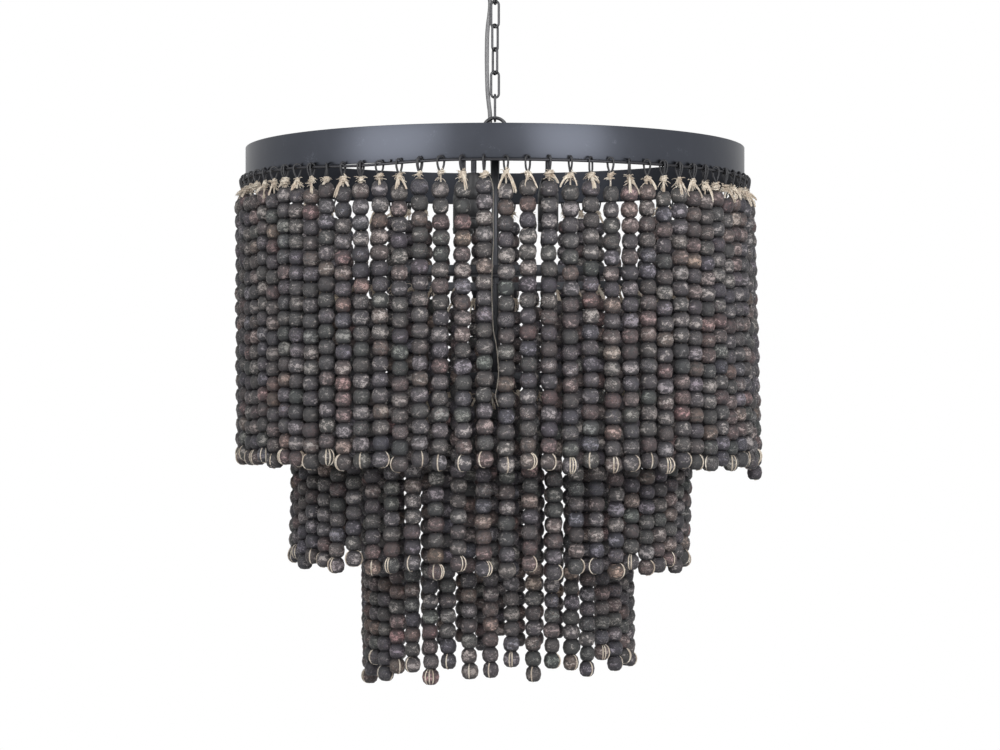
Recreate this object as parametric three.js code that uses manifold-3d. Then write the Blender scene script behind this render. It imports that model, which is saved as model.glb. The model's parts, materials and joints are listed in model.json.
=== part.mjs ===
// Beaded chandelier: three tiers of bead strands on a steel frame that hangs from a chain.
// Millimetres, +Z up. The origin is the point of the ceiling plane above the axis, and all
// of the object hangs below it.

import * as THREE from 'three';
import { mergeVertices } from 'three/addons/utils/BufferGeometryUtils.js';
import Module from 'manifold-3d';

// Clearances and overruns
const SEAT_GAP = 0.3; // left between pieces that rest on or in each other
const CUT_OVERRUN = 1; // how far a cutting solid runs past the face it cuts
const JOIN_DEPTH = 0.8; // how far two solids that become one run into each other
const MERGE_DISTANCE = 1e-4; // vertices nearer than this are one vertex
const TANGENT_SHARE = 0.05; // part of a step to each side from which a direction is taken

// Facets
const LARGE_SIDES = 24; // dishes
const SMALL_SIDES = 12; // bores, bosses and rods
const THIN_SIDES = 8; // lamp tubes, cable and loop wire
const HEX_SIDES = 6;
const PEG_SIDES = 4;
const ARC_STEPS = 6; // of a plate's rounded outline

// Ceiling fitting
const BRACKET_LENGTH = 92;
const BRACKET_WIDTH = 20;
const BRACKET_THICKNESS = 3;
const BRACKET_HOLE_D = 5;
const BRACKET_HOLE_SPACING = 70;
const NIPPLE_D = 10;
const NIPPLE_HEAD_D = 17;
const NIPPLE_HEAD_HEIGHT = 5;
const CANOPY_D = 120;
const CANOPY_HEIGHT = 27;
const CANOPY_WALL = 1.2;
const CANOPY_FLAT_D = 46;
const CANOPY_LIP = 3;
const CANOPY_SHOULDER = 9;
const CANOPY_CURVE_STEPS = 4;
const COLLAR_D = 18;
const COLLAR_HEIGHT = 6;
const COLLAR_FLUTES = 10;
const COLLAR_FLUTE_DEPTH = 0.7;

// Loops at the two ends of the chain
const LOOP_WIRE_D = 4;
const CANOPY_LOOP_D = 26;
const HUB_LOOP_D = 31;
const BARREL_D = 14;
const BARREL_HEIGHT = 7;
const BARREL_BORE_DEPTH = 5;
const LOOP_END_STEPS = 8;

// Chain
const LINK_COUNT = 6;
const LINK_LENGTH = 33;
const LINK_WIDTH = 12;
const LINK_WIRE_D = 2.8;
const LINK_END_STEPS = 6;
// turn of each link about the chain's line, in degrees, from the top link down
const LINK_TURNS = [72, -18, 47, -57, 14, 90];

// Hoop and rings that carry the strands
const HOOP_HEIGHT = 38.6;
const RING_HEIGHT = 10;
const BAND_WALL = 2;
const BAND_SIDES = 54;
const TIER_STEP = 114; // from one tier's lower edge to the next
const WIRE_D = 3; // hanging wire along each lower edge
const WIRE_SIDES = 6;
const WIRE_RISE = 0.5; // wire's middle above the band's lower edge
const PEG_D = 2.4;
const PEG_AFTER = 2; // number of a stretch's strands before its peg
const HOOP_TOP_BELOW_LOOP = 9; // hoop's top edge below the underside of the hub loop

// Stem and spiders
const STEM_D = 8;
const TOP_PLATE_THICKNESS = 4;
const TOP_ARM_WIDTH = 11;
const LOW_PLATE_D = 44;
const LOW_PLATE_THICKNESS = 3;
const LOW_ARM_WIDTH = 14;
const ARM_COUNT = 3;
const ARM_TURN = 90; // direction of the first arm, in degrees from +X
const BOSS_D = 16;
const BOSS_HEIGHT = 8;
const FINIAL_D = 16;
const FINIAL_HEIGHT = 18;
const STEM_IN_FINIAL = 8;
// finial from its tip up to its neck, as shares of its radius: out from the axis, and up
const FINIAL_SHARES = [[0, 0], [0.45, 0.12], [0.85, 0.5], [1, 1], [0.8, 1.5]];
const FINIAL_NECK_SHARE = 0.8; // share of the radius

// Wiring cover, lamp tubes and lamp holders
const COVER_HEIGHT = 6.5;
const COVER_MARGIN = 2; // of the top plate, round the cover
const COVER_WALL = 1;
const LAMP_COUNT = 3;
const LAMP_CIRCLE_D = 124;
const LAMP_TURN = 7.2; // direction of the first lamp, in degrees from +X
const LAMP_TUBE_D = 6.4;
const LAMP_TUBE_LENGTH = 41;
const LAMP_TUBE_HEAD_D = 10;
const LAMP_TUBE_HEAD_HEIGHT = 2;
const HOLDER_D = 24;
const HOLDER_HEIGHT = 62;
const HOLDER_CAP_HEIGHT = 16;
const HOLDER_CAP_D = 15;
const HOLDER_BORE_D = 20;
const HOLDER_BORE_DEPTH = 40;
const TUBE_IN_HOLDER = 8;

// Beads
const BEAD_D = 18.2;
const BEAD_PITCH = 16.5;
const BEAD_END_D = 9.6; // flat end of a bead, where the next one sits
const BEADS_PER_STRAND = 18;
const FIRST_BEAD_DROP = 21.5; // from the band's lower edge to the top of the first bead
const CORD_LOOP_D = 1.4; // cord of the loop over the wire
const CORD_LOOP_HEIGHT = 14.4;
const KNOT_D = 7;
const COLUMN_SIDES = 4;
const CORD_SIDES = 5;
const CORD_END_STEPS = 4;
const STRAND_SIDES = 5;
const UNEVEN_STEP = 2.4; // radians of the wave that makes strand ends uneven

// Tiers: the circle that the hanging wire runs on, and how uneven the strand ends are
const UPPER_WIRE_CIRCLE_D = 580;
const MIDDLE_WIRE_CIRCLE_D = 446;
const LOWER_WIRE_CIRCLE_D = 298;
const UPPER_UNEVEN = 3;
const MIDDLE_UNEVEN = 5;
const LOWER_UNEVEN = 9;
// where each tier's first stretch of wire starts, in degrees from +X
const UPPER_TURN = -1.11;
const MIDDLE_TURN = 1.64;
const LOWER_TURN = 2.25;
const TIERS = [
  {
    name: 'upper',
    wireD: UPPER_WIRE_CIRCLE_D,
    uneven: UPPER_UNEVEN,
    strands: 81,
    sectors: 9,
    turn: UPPER_TURN,
    swinging: [7, 62],
  },
  {
    name: 'middle',
    wireD: MIDDLE_WIRE_CIRCLE_D,
    uneven: MIDDLE_UNEVEN,
    strands: 55,
    sectors: 5,
    turn: MIDDLE_TURN,
    swinging: [2, 38],
  },
  {
    name: 'lower',
    wireD: LOWER_WIRE_CIRCLE_D,
    uneven: LOWER_UNEVEN,
    strands: 40,
    sectors: 5,
    turn: LOWER_TURN,
    swinging: [4, 29],
  },
];

// Supply cable, from inside the canopy, beside the chain, into the wiring cover
const CABLE_D = 5;
const CABLE_STEPS = 24;
const BUSH_D = 9;
const BUSH_FLANGE_D = 11;
const BUSH_FLANGE = 1.2;
const CABLE_ROUTE = [
  [-12, 9, -12], [-12, 9, -20], [-12, 9, -28], [-11.8, 9, -36], [-11, 8.8, -46],
  [-9.5, 8.2, -58], [-7.6, 7.2, -70], [-6, 6.6, -80], [-5.6, 6.4, -88], [-6.4, 6.2, -98],
  [-8, 5.6, -110], [-9, 5, -122], [-9.3, 4.6, -136], [-9.4, 4.4, -150], [-9.3, 4.4, -164],
  [-9, 4.6, -178], [-8.4, 5, -190], [-7.2, 5.6, -202], [-6, 6.6, -212], [-5.7, 8.4, -222],
  [-6.7, 11, -231], [-7.8, 12.7, -238.5], [-8, 13, -244], [-8, 13, -253.4],
];

// Colours and finishes
const FINISHES = {
  steel: { color: 0x5a5c62, roughness: 0.42, metalness: 0.8 },
  hoop: { color: 0x6a6c74, roughness: 0.36, metalness: 0.8 },
  chain: { color: 0x55565a, roughness: 0.5, metalness: 0.8 },
  bead: { color: 0x4a4744, roughness: 0.7, metalness: 0 },
  cable: { color: 0x8c8c8e, roughness: 0.6, metalness: 0 },
  holder: { color: 0x2b2b2d, roughness: 0.5, metalness: 0 },
};

const wasm = await Module();
wasm.setup();

const group = new THREE.Group();

// Joining and cutting

// The geometry as a solid, with the vertices that its faces share merged
function toSolid(geometry) {
  const bare = geometry.clone();
  bare.deleteAttribute('normal');
  bare.deleteAttribute('uv');
  const merged = mergeVertices(bare, MERGE_DISTANCE);
  return new wasm.Manifold(new wasm.Mesh({
    numProp: 3,
    vertProperties: new Float32Array(merged.attributes.position.array),
    triVerts: new Uint32Array(merged.index.array),
  }));
}

function toGeometry(solid) {
  const mesh = solid.getMesh();
  const geometry = new THREE.BufferGeometry();
  geometry.setAttribute('position', new THREE.BufferAttribute(mesh.vertProperties, 3));
  geometry.setIndex(new THREE.BufferAttribute(mesh.triVerts, 1));
  geometry.computeVertexNormals();
  return geometry;
}

function joined(...geometries) {
  return toGeometry(geometries.map(toSolid).reduce((all, one) => all.add(one)));
}

function cut(body, ...tools) {
  return toGeometry(tools.map(toSolid).reduce((left, tool) => left.subtract(tool), toSolid(body)));
}

function addPiece(name, geometry, finish) {
  const mesh = new THREE.Mesh(geometry, new THREE.MeshStandardMaterial(FINISHES[finish]));
  mesh.name = name;
  group.add(mesh);
  return mesh;
}

// Basic shapes, each standing on the height z, along +Z

function rod(diameter, bottom, top, sides = SMALL_SIDES) {
  const shape = new THREE.CylinderGeometry(diameter / 2, diameter / 2, top - bottom, sides);
  shape.rotateX(Math.PI / 2);
  shape.translate(0, 0, (bottom + top) / 2);
  return shape;
}

// A profile of [radius, height] points turned about the Z axis
function turned(points, sides = SMALL_SIDES) {
  const shape = new THREE.LatheGeometry(points.map(([r, z]) => new THREE.Vector2(r, z)), sides);
  shape.rotateX(Math.PI / 2);
  return shape;
}

function plate(outline, bottom, thickness) {
  const shape = new THREE.ExtrudeGeometry(outline, {
    depth: thickness,
    bevelEnabled: false,
    curveSegments: ARC_STEPS,
  });
  shape.translate(0, 0, bottom);
  return shape;
}

function circleHole(x, y, diameter) {
  const hole = new THREE.Path();
  hole.absarc(x, y, diameter / 2, 0, Math.PI * 2, true);
  return hole;
}

function turnedAbout(geometry, degrees) {
  geometry.rotateZ(THREE.MathUtils.degToRad(degrees));
  return geometry;
}

// A closed loop of round wire: two straight sides joined by half circles. With no straight
// part it is a ring. It stands in the XZ plane about the origin.
class WireLoop extends THREE.Curve {
  constructor(straight, endRadius, endSteps) {
    super();
    this.straight = straight;
    this.endRadius = endRadius;
    this.endSteps = endSteps;
    this.sideSteps = straight > 0 ? 1 : 0;
  }

  get steps() {
    return 2 * (this.endSteps + this.sideSteps);
  }

  getPoint(t, target = new THREE.Vector3()) {
    const half = this.endSteps + this.sideSteps;
    const step = (t * this.steps) % this.steps;
    const upper = step < half;
    const along = Math.min(upper ? step : step - half, half);
    const turn = Math.PI * Math.min(along / this.endSteps, 1);
    const down = Math.max(along - this.endSteps, 0) * this.straight;
    const side = upper ? 1 : -1;
    const x = this.endRadius * Math.cos(turn);
    const z = this.straight / 2 + this.endRadius * Math.sin(turn) - down;
    return target.set(side * x, 0, side * z);
  }

  getPointAt(t, target) {
    return this.getPoint(t, target);
  }

  getTangentAt(t, target = new THREE.Vector3()) {
    const near = TANGENT_SHARE / this.steps;
    const before = this.getPoint((t - near + 1) % 1);
    const after = this.getPoint((t + near) % 1);
    return target.copy(after).sub(before).normalize();
  }
}

function wireLoop(straight, endRadius, wireD, endSteps, sides) {
  const path = new WireLoop(straight, endRadius, endSteps);
  return new THREE.TubeGeometry(path, path.steps, wireD / 2, sides, true);
}

// A bar of the given section along an arc about the Z axis. The section's middle of each
// step lies on the radius.
class FlatArc extends THREE.Curve {
  constructor(radius, height, from, to) {
    super();
    Object.assign(this, { radius, height, from, to });
  }

  getPoint(t, target = new THREE.Vector3()) {
    const angle = this.from + (this.to - this.from) * t;
    return target.set(this.radius * Math.cos(angle), this.radius * Math.sin(angle), this.height);
  }
}

function roundSection(diameter, sides) {
  const corners = Array.from({ length: sides }, (unused, i) => {
    const angle = (i + 0.5) * 2 * Math.PI / sides;
    return new THREE.Vector2(Math.cos(angle), Math.sin(angle)).multiplyScalar(diameter / 2);
  });
  return new THREE.Shape(corners);
}

function tube(path, diameter, sides, steps) {
  return new THREE.ExtrudeGeometry(roundSection(diameter, sides), { steps, extrudePath: path });
}

// Heights, worked out from the ceiling down

const bracketBottom = -BRACKET_THICKNESS;
const canopyTop = -SEAT_GAP;
const canopyBottom = canopyTop - CANOPY_HEIGHT;
const collarTop = canopyBottom - SEAT_GAP;
const collarBottom = collarTop - COLLAR_HEIGHT;
const canopyBarrelTop = collarBottom - SEAT_GAP;
const canopyBarrelBottom = canopyBarrelTop - BARREL_HEIGHT;
const canopyRingRadius = (CANOPY_LOOP_D - LOOP_WIRE_D) / 2;
const canopyRingZ = canopyBarrelBottom + LOOP_WIRE_D / 2 - canopyRingRadius;

// the inside of the canopy loop's lowest wire carries the first link
const firstLinkTop = canopyRingZ - canopyRingRadius + LOOP_WIRE_D / 2 + SEAT_GAP + LINK_WIRE_D;
const linkPitch = LINK_LENGTH - 2 * LINK_WIRE_D - SEAT_GAP;
const lastLinkBottom = firstLinkTop - (LINK_COUNT - 1) * linkPitch - LINK_LENGTH;

const hubRingRadius = (HUB_LOOP_D - LOOP_WIRE_D) / 2;
const hubRingTop = lastLinkBottom + LINK_WIRE_D + SEAT_GAP + LOOP_WIRE_D;
const hubRingZ = hubRingTop - HUB_LOOP_D / 2;
const hubRingBottom = hubRingTop - HUB_LOOP_D;
const hubBarrelTop = hubRingBottom + LOOP_WIRE_D / 2;
const hoopTop = hubRingBottom - HOOP_TOP_BELOW_LOOP;
const hoopBottom = hoopTop - HOOP_HEIGHT;
const topPlateTop = hoopTop - SEAT_GAP;
const topPlateBottom = topPlateTop - TOP_PLATE_THICKNESS;
const hubBarrelBottom = topPlateTop + SEAT_GAP;

const stemTop = hubBarrelBottom + BARREL_BORE_DEPTH - SEAT_GAP;
const tierBottoms = TIERS.map((tier, i) => hoopBottom - i * TIER_STEP);
const lowPlateTops = tierBottoms.slice(1).map((z) => z + RING_HEIGHT - SEAT_GAP);
const lastBossBottom = lowPlateTops[1] - LOW_PLATE_THICKNESS - BOSS_HEIGHT;
const finialTop = lastBossBottom - SEAT_GAP;
const stemBottom = finialTop - STEM_IN_FINIAL;

// The cover's top clears the heads of the lamp tubes, and the top plate carries the cover
const coverD = LAMP_CIRCLE_D + LAMP_TUBE_HEAD_D + 2 * COVER_HEIGHT;
const topPlateD = coverD + 2 * COVER_MARGIN;

// A band's outside stays clear of the cord loops that pass between it and the wire
const bandToWire = WIRE_D / 2 + SEAT_GAP + CORD_LOOP_D + SEAT_GAP;

// Ceiling fitting

function ceilingBracket() {
  const outline = new THREE.Shape();
  const half = BRACKET_WIDTH / 2;
  const reach = BRACKET_LENGTH / 2 - half;
  outline.absarc(reach, 0, half, -Math.PI / 2, Math.PI / 2);
  outline.absarc(-reach, 0, half, Math.PI / 2, Math.PI * 1.5);
  outline.holes.push(circleHole(0, 0, NIPPLE_D + 2 * SEAT_GAP));
  for (const side of [-1, 1]) {
    outline.holes.push(circleHole(side * BRACKET_HOLE_SPACING / 2, 0, BRACKET_HOLE_D));
  }
  addPiece('ceiling_bracket', plate(outline, bracketBottom, BRACKET_THICKNESS), 'steel');
}

// A threaded tube, held in the bracket by its hexagonal head
function nipple() {
  const shank = rod(NIPPLE_D, canopyBarrelTop - BARREL_BORE_DEPTH + SEAT_GAP, -SEAT_GAP);
  const headTop = bracketBottom - SEAT_GAP;
  const head = rod(NIPPLE_HEAD_D, headTop - NIPPLE_HEAD_HEIGHT, headTop, HEX_SIDES);
  addPiece('nipple', joined(shank, head), 'steel');
}

// A spun dish, open to the ceiling, with holes for the nipple and the cable's bush
function canopy() {
  const outer = CANOPY_D / 2;
  const flat = CANOPY_FLAT_D / 2;
  const bore = NIPPLE_D / 2 + SEAT_GAP;
  const floor = canopyBottom + CANOPY_WALL;
  const lip = canopyTop - CANOPY_LIP;
  const outside = new THREE.QuadraticBezierCurve(
    new THREE.Vector2(outer, lip),
    new THREE.Vector2(outer - CANOPY_SHOULDER, canopyBottom),
    new THREE.Vector2(flat, canopyBottom),
  ).getPoints(CANOPY_CURVE_STEPS);
  const inside = new THREE.QuadraticBezierCurve(
    new THREE.Vector2(flat, floor),
    new THREE.Vector2(outer - CANOPY_SHOULDER - CANOPY_WALL, floor),
    new THREE.Vector2(outer - CANOPY_WALL, lip),
  ).getPoints(CANOPY_CURVE_STEPS);
  const profile = [
    [outer, canopyTop],
    ...outside.map((p) => [p.x, p.y]),
    [bore, canopyBottom],
    [bore, floor],
    ...inside.map((p) => [p.x, p.y]),
    [outer - CANOPY_WALL, canopyTop],
    [outer, canopyTop],
  ];
  const [x, y] = CABLE_ROUTE[0];
  const hole = rod(BUSH_D + 2 * SEAT_GAP, canopyBottom - CUT_OVERRUN, floor + CUT_OVERRUN);
  hole.translate(x, y, 0);
  addPiece('canopy', cut(turned(profile.reverse(), LARGE_SIDES), hole), 'steel');
}

// A bush with a flange above the sheet and one below, round the cable
function cableBush(name, x, y, sheetBottom, sheetThickness) {
  const bore = CABLE_D / 2 + SEAT_GAP;
  const low = sheetBottom - SEAT_GAP - BUSH_FLANGE;
  const high = sheetBottom + sheetThickness + BUSH_FLANGE;
  const profile = [
    [bore, low],
    [BUSH_FLANGE_D / 2, low],
    [BUSH_FLANGE_D / 2, sheetBottom - SEAT_GAP],
    [BUSH_D / 2, sheetBottom - SEAT_GAP],
    [BUSH_D / 2, high],
    [bore, high],
    [bore, low],
  ];
  const bush = turned(profile);
  bush.translate(x, y, 0);
  addPiece(name, bush, 'cable');
}

function collarNut() {
  const bore = NIPPLE_D / 2 + SEAT_GAP;
  const outline = new THREE.Shape();
  const radius = COLLAR_D / 2;
  const grips = 2 * COLLAR_FLUTES;
  for (let i = 0; i < grips; i += 1) {
    const angle = i * 2 * Math.PI / grips;
    const reach = radius - (i % 2) * COLLAR_FLUTE_DEPTH;
    const [x, y] = [reach * Math.cos(angle), reach * Math.sin(angle)];
    if (i === 0) outline.moveTo(x, y);
    else outline.lineTo(x, y);
  }
  outline.holes.push(circleHole(0, 0, 2 * bore));
  addPiece('collar_nut', plate(outline, collarBottom, COLLAR_HEIGHT), 'steel');
}

// A ring of wire on a barrel with a blind bore. side is 1 for a barrel above the ring.
function loopWithBarrel(name, ringZ, ringRadius, barrelLow, barrelHigh, side, boreD) {
  const ring = wireLoop(0, ringRadius, LOOP_WIRE_D, LOOP_END_STEPS, THIN_SIDES);
  ring.translate(0, 0, ringZ);
  const barrel = rod(BARREL_D, barrelLow, barrelHigh);
  const mouth = side > 0 ? barrelHigh : barrelLow;
  const end = mouth - side * BARREL_BORE_DEPTH;
  const past = mouth + side * CUT_OVERRUN;
  const bore = rod(boreD, Math.min(end, past), Math.max(end, past));
  addPiece(name, cut(joined(ring, barrel), bore), 'chain');
}

// Chain

function chain() {
  const endRadius = (LINK_WIDTH - LINK_WIRE_D) / 2;
  for (let i = 0; i < LINK_COUNT; i += 1) {
    const straight = LINK_LENGTH - LINK_WIDTH;
    const link = wireLoop(straight, endRadius, LINK_WIRE_D, LINK_END_STEPS, THIN_SIDES);
    turnedAbout(link, LINK_TURNS[i]);
    link.translate(0, 0, firstLinkTop - LINK_LENGTH / 2 - i * linkPitch);
    addPiece(`chain_link_${i + 1}`, link, 'chain');
  }
}

function supplyCable() {
  const path = new THREE.CatmullRomCurve3(CABLE_ROUTE.map((p) => new THREE.Vector3(...p)));
  addPiece('supply_cable', tube(path, CABLE_D, THIN_SIDES, CABLE_STEPS), 'cable');
}

// Frame

function band(name, wireD, bottom, height, finish) {
  const outer = wireD / 2 - bandToWire;
  const inner = outer - BAND_WALL;
  const profile = [
    [inner, bottom], [outer, bottom], [outer, bottom + height], [inner, bottom + height],
    [inner, bottom],
  ];
  addPiece(name, turned(profile, BAND_SIDES), finish);
}

// How far an arm reaches so that its corners stay just inside a band, whose inner wall is faceted
function armReach(tier) {
  const inside = (tier.wireD / 2 - bandToWire - BAND_WALL) * Math.cos(Math.PI / BAND_SIDES);
  const halfWidth = (tier === TIERS[0] ? TOP_ARM_WIDTH : LOW_ARM_WIDTH) / 2;
  return Math.sqrt((inside - SEAT_GAP) ** 2 - halfWidth ** 2);
}

// A round plate with flat arms that reach the inside of a band, bored for the stem
function spider(name, plateD, armWidth, reach, top, thickness, holes) {
  const outline = new THREE.Shape();
  const radius = plateD / 2;
  const halfAngle = Math.asin(armWidth / plateD);
  const step = 2 * Math.PI / ARM_COUNT;
  for (let i = 0; i < ARM_COUNT; i += 1) {
    const turn = i * step;
    const along = new THREE.Vector2(Math.cos(turn), Math.sin(turn));
    const across = new THREE.Vector2(-Math.sin(turn), Math.cos(turn)).multiplyScalar(armWidth / 2);
    const low = along.clone().multiplyScalar(reach).sub(across);
    const high = along.clone().multiplyScalar(reach).add(across);
    if (i === 0) outline.moveTo(low.x, low.y);
    else outline.lineTo(low.x, low.y);
    outline.lineTo(high.x, high.y);
    outline.absarc(0, 0, radius, turn + halfAngle, turn + step - halfAngle, false);
  }
  outline.closePath();
  const bore = STEM_D + 2 * SEAT_GAP;
  outline.holes.push(circleHole(0, 0, bore));
  for (const [x, y, d] of holes) outline.holes.push(circleHole(x, y, d));
  let shape = plate(outline, top - thickness, thickness);
  if (thickness === LOW_PLATE_THICKNESS) {
    const bossLow = top - thickness - BOSS_HEIGHT;
    const boss = rod(BOSS_D, bossLow, top - thickness + JOIN_DEPTH);
    shape = cut(joined(shape, boss), rod(bore, bossLow - CUT_OVERRUN, top + CUT_OVERRUN));
  }
  addPiece(name, turnedAbout(shape, ARM_TURN), 'steel');
}

function lampPlaces(turnDegrees) {
  return Array.from({ length: LAMP_COUNT }, (unused, i) => {
    const angle = turnDegrees * Math.PI / 180 + i * 2 * Math.PI / LAMP_COUNT;
    return [LAMP_CIRCLE_D / 2 * Math.cos(angle), LAMP_CIRCLE_D / 2 * Math.sin(angle)];
  });
}

function spiders() {
  const tubeHoles = lampPlaces(LAMP_TURN - ARM_TURN)
    .map(([x, y]) => [x, y, LAMP_TUBE_D + 2 * SEAT_GAP]);
  spider('top_spider', topPlateD, TOP_ARM_WIDTH, armReach(TIERS[0]), topPlateTop,
    TOP_PLATE_THICKNESS, tubeHoles);
  for (const tier of [1, 2]) {
    spider(`${TIERS[tier].name}_spider`, LOW_PLATE_D, LOW_ARM_WIDTH, armReach(TIERS[tier]),
      lowPlateTops[tier - 1], LOW_PLATE_THICKNESS, []);
  }
}

function finial() {
  const r = FINIAL_D / 2;
  const bore = STEM_D / 2 + SEAT_GAP;
  const low = finialTop - FINIAL_HEIGHT;
  const boreEnd = finialTop - STEM_IN_FINIAL - SEAT_GAP;
  const profile = [
    ...FINIAL_SHARES.map(([out, up]) => [r * out, low + r * up]),
    [r * FINIAL_NECK_SHARE, finialTop - 2 * JOIN_DEPTH],
    [r, finialTop - JOIN_DEPTH],
    [r, finialTop],
    [bore, finialTop],
    [bore, boreEnd],
    [0, boreEnd],
  ];
  addPiece('stem_finial', turned(profile), 'steel');
}

// Wiring cover, lamp tubes and holders

function wiringCover() {
  const outer = coverD / 2;
  const bore = BARREL_D / 2 + SEAT_GAP;
  const low = topPlateTop + SEAT_GAP;
  const high = low + COVER_HEIGHT;
  const shoulder = outer - COVER_HEIGHT;
  const profile = [
    [outer, low],
    [outer, low + COVER_WALL],
    [shoulder, high],
    [bore, high],
    [bore, high - COVER_WALL],
    [shoulder - COVER_WALL / 2, high - COVER_WALL],
    [outer - 2 * COVER_WALL, low],
    [outer, low],
  ];
  const [x, y] = CABLE_ROUTE[CABLE_ROUTE.length - 1];
  const hole = rod(BUSH_D + 2 * SEAT_GAP, high - COVER_WALL - CUT_OVERRUN, high + CUT_OVERRUN);
  hole.translate(x, y, 0);
  addPiece('wiring_cover', cut(turned(profile, LARGE_SIDES), hole), 'steel');
  cableBush('cover_bush', x, y, high - COVER_WALL, COVER_WALL);
}

function lampTubes() {
  const headTop = topPlateTop + SEAT_GAP + LAMP_TUBE_HEAD_HEIGHT;
  const bottom = headTop - LAMP_TUBE_LENGTH;
  const holderTop = bottom + TUBE_IN_HOLDER;
  lampPlaces(LAMP_TURN).forEach(([x, y], i) => {
    const shank = rod(LAMP_TUBE_D, bottom, headTop - JOIN_DEPTH, THIN_SIDES);
    const head = rod(LAMP_TUBE_HEAD_D, headTop - LAMP_TUBE_HEAD_HEIGHT, headTop, THIN_SIDES);
    const tubePiece = joined(shank, head);
    tubePiece.translate(x, y, 0);
    addPiece(`lamp_tube_${i + 1}`, tubePiece, 'steel');

    const outer = HOLDER_D / 2;
    const bore = HOLDER_BORE_D / 2;
    const entry = LAMP_TUBE_D / 2 + SEAT_GAP;
    const low = holderTop - HOLDER_HEIGHT;
    const floor = low + HOLDER_BORE_DEPTH;
    const skirt = holderTop - HOLDER_CAP_HEIGHT;
    const profile = [
      [bore, low],
      [outer, low],
      [outer, skirt],
      [(outer + HOLDER_CAP_D / 2) / 2, (skirt + holderTop) / 2],
      [HOLDER_CAP_D / 2, holderTop],
      [entry, holderTop],
      [entry, floor],
      [bore, floor],
      [bore, low],
    ];
    const holder = turned(profile);
    holder.translate(x, y, 0);
    addPiece(`lamp_holder_${i + 1}`, holder, 'holder');
  });
}

// Strands

// Extra drop of one strand, so that the ends of a tier are as uneven as they are on the object
function unevenness(tier, index) {
  return tier.uneven * Math.sin(UNEVEN_STEP * index + tier.strands);
}

// Direction of one strand, in degrees from +X
function strandTurn(tier, index) {
  return tier.turn + (index + 0.5) * 360 / tier.strands;
}

function strandHeights(tier, index, bandBottom) {
  const beadsTop = bandBottom - FIRST_BEAD_DROP - unevenness(tier, index);
  const beadsBottom = beadsTop - BEADS_PER_STRAND * BEAD_PITCH;
  return { wire: bandBottom + WIRE_RISE, beadsTop, beadsBottom };
}

// The strands that hang still are plain columns of a strand's outline, drawn in to the wire
function column(tier, index, bandBottom) {
  const { wire, beadsTop, beadsBottom } = strandHeights(tier, index, bandBottom);
  const shape = turned([
    [0, beadsBottom],
    [BEAD_D / 2, beadsBottom],
    [BEAD_D / 2, beadsTop],
    [0, wire],
  ], COLUMN_SIDES);
  shape.translate(tier.wireD / 2, 0, 0);
  return turnedAbout(shape, strandTurn(tier, index));
}

// Strands that swing: a loop of cord over the wire, its knot, and every bead
function swingingStrand(tier, index, bandBottom) {
  const { wire, beadsTop, beadsBottom } = strandHeights(tier, index, bandBottom);
  const endRadius = (WIRE_D + CORD_LOOP_D) / 2 + SEAT_GAP;
  const straight = CORD_LOOP_HEIGHT - CORD_LOOP_D - 2 * endRadius;
  const loop = wireLoop(straight, endRadius, CORD_LOOP_D, CORD_END_STEPS, CORD_SIDES);
  const loopTop = wire + endRadius + CORD_LOOP_D / 2;
  loop.translate(0, 0, loopTop - CORD_LOOP_HEIGHT / 2);
  const loopBottom = loopTop - CORD_LOOP_HEIGHT;

  const beads = [];
  for (let i = 0; i < BEADS_PER_STRAND; i += 1) {
    const middle = beadsTop - (i + 0.5) * BEAD_PITCH;
    beads.push([BEAD_D / 2, middle], [BEAD_END_D / 2, middle - BEAD_PITCH / 2]);
  }
  const knotTop = loopBottom + CORD_LOOP_D + JOIN_DEPTH;
  const profile = [
    [0, knotTop],
    [KNOT_D / 2, (knotTop + beadsTop) / 2],
    [BEAD_END_D / 2, beadsTop],
    ...beads,
    [0, beadsBottom],
  ];
  const shape = joined(turned(profile.reverse(), STRAND_SIDES), loop);
  shape.translate(tier.wireD / 2, 0, 0);
  return turnedAbout(shape, strandTurn(tier, index));
}

// One stretch of hanging wire with its strands and a peg to the band
function sector(tier, number, bandBottom) {
  const perSector = tier.strands / tier.sectors;
  const pitch = 2 * Math.PI / tier.strands;
  const radius = tier.wireD / 2;
  const halfGap = SEAT_GAP / 2 / radius;
  const first = number * perSector;
  const start = tier.turn * Math.PI / 180 + first * pitch;
  // each straight step of the wire carries a strand at its middle, so its corners lie further out,
  // and the peg starts at one
  const cornerRadius = radius / Math.cos(pitch / 2);
  const arc = new FlatArc(
    cornerRadius,
    bandBottom + WIRE_RISE,
    start + halfGap,
    start + perSector * pitch - halfGap,
  );
  const pieces = [tube(arc, WIRE_D, WIRE_SIDES, perSector)];
  for (let i = first; i < first + perSector; i += 1) {
    if (!tier.swinging.includes(i)) pieces.push(column(tier, i, bandBottom));
  }
  const pegLength = cornerRadius - radius + bandToWire - SEAT_GAP;
  const peg = rod(PEG_D, 0, pegLength, PEG_SIDES);
  peg.rotateY(-Math.PI / 2);
  peg.translate(cornerRadius, 0, bandBottom + WIRE_RISE + PEG_D / 2);
  pieces.push(turnedAbout(peg, tier.turn + (first + PEG_AFTER) * 360 / tier.strands));
  return joined(...pieces);
}

function strands() {
  TIERS.forEach((tier, t) => {
    for (let i = 0; i < tier.sectors; i += 1) {
      addPiece(`${tier.name}_strands_${i + 1}`, sector(tier, i, tierBottoms[t]), 'bead');
    }
    tier.swinging.forEach((index, i) => {
      const strand = swingingStrand(tier, index, tierBottoms[t]);
      addPiece(`${tier.name}_swing_strand_${i + 1}`, strand, 'bead');
    });
  });
}

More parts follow.
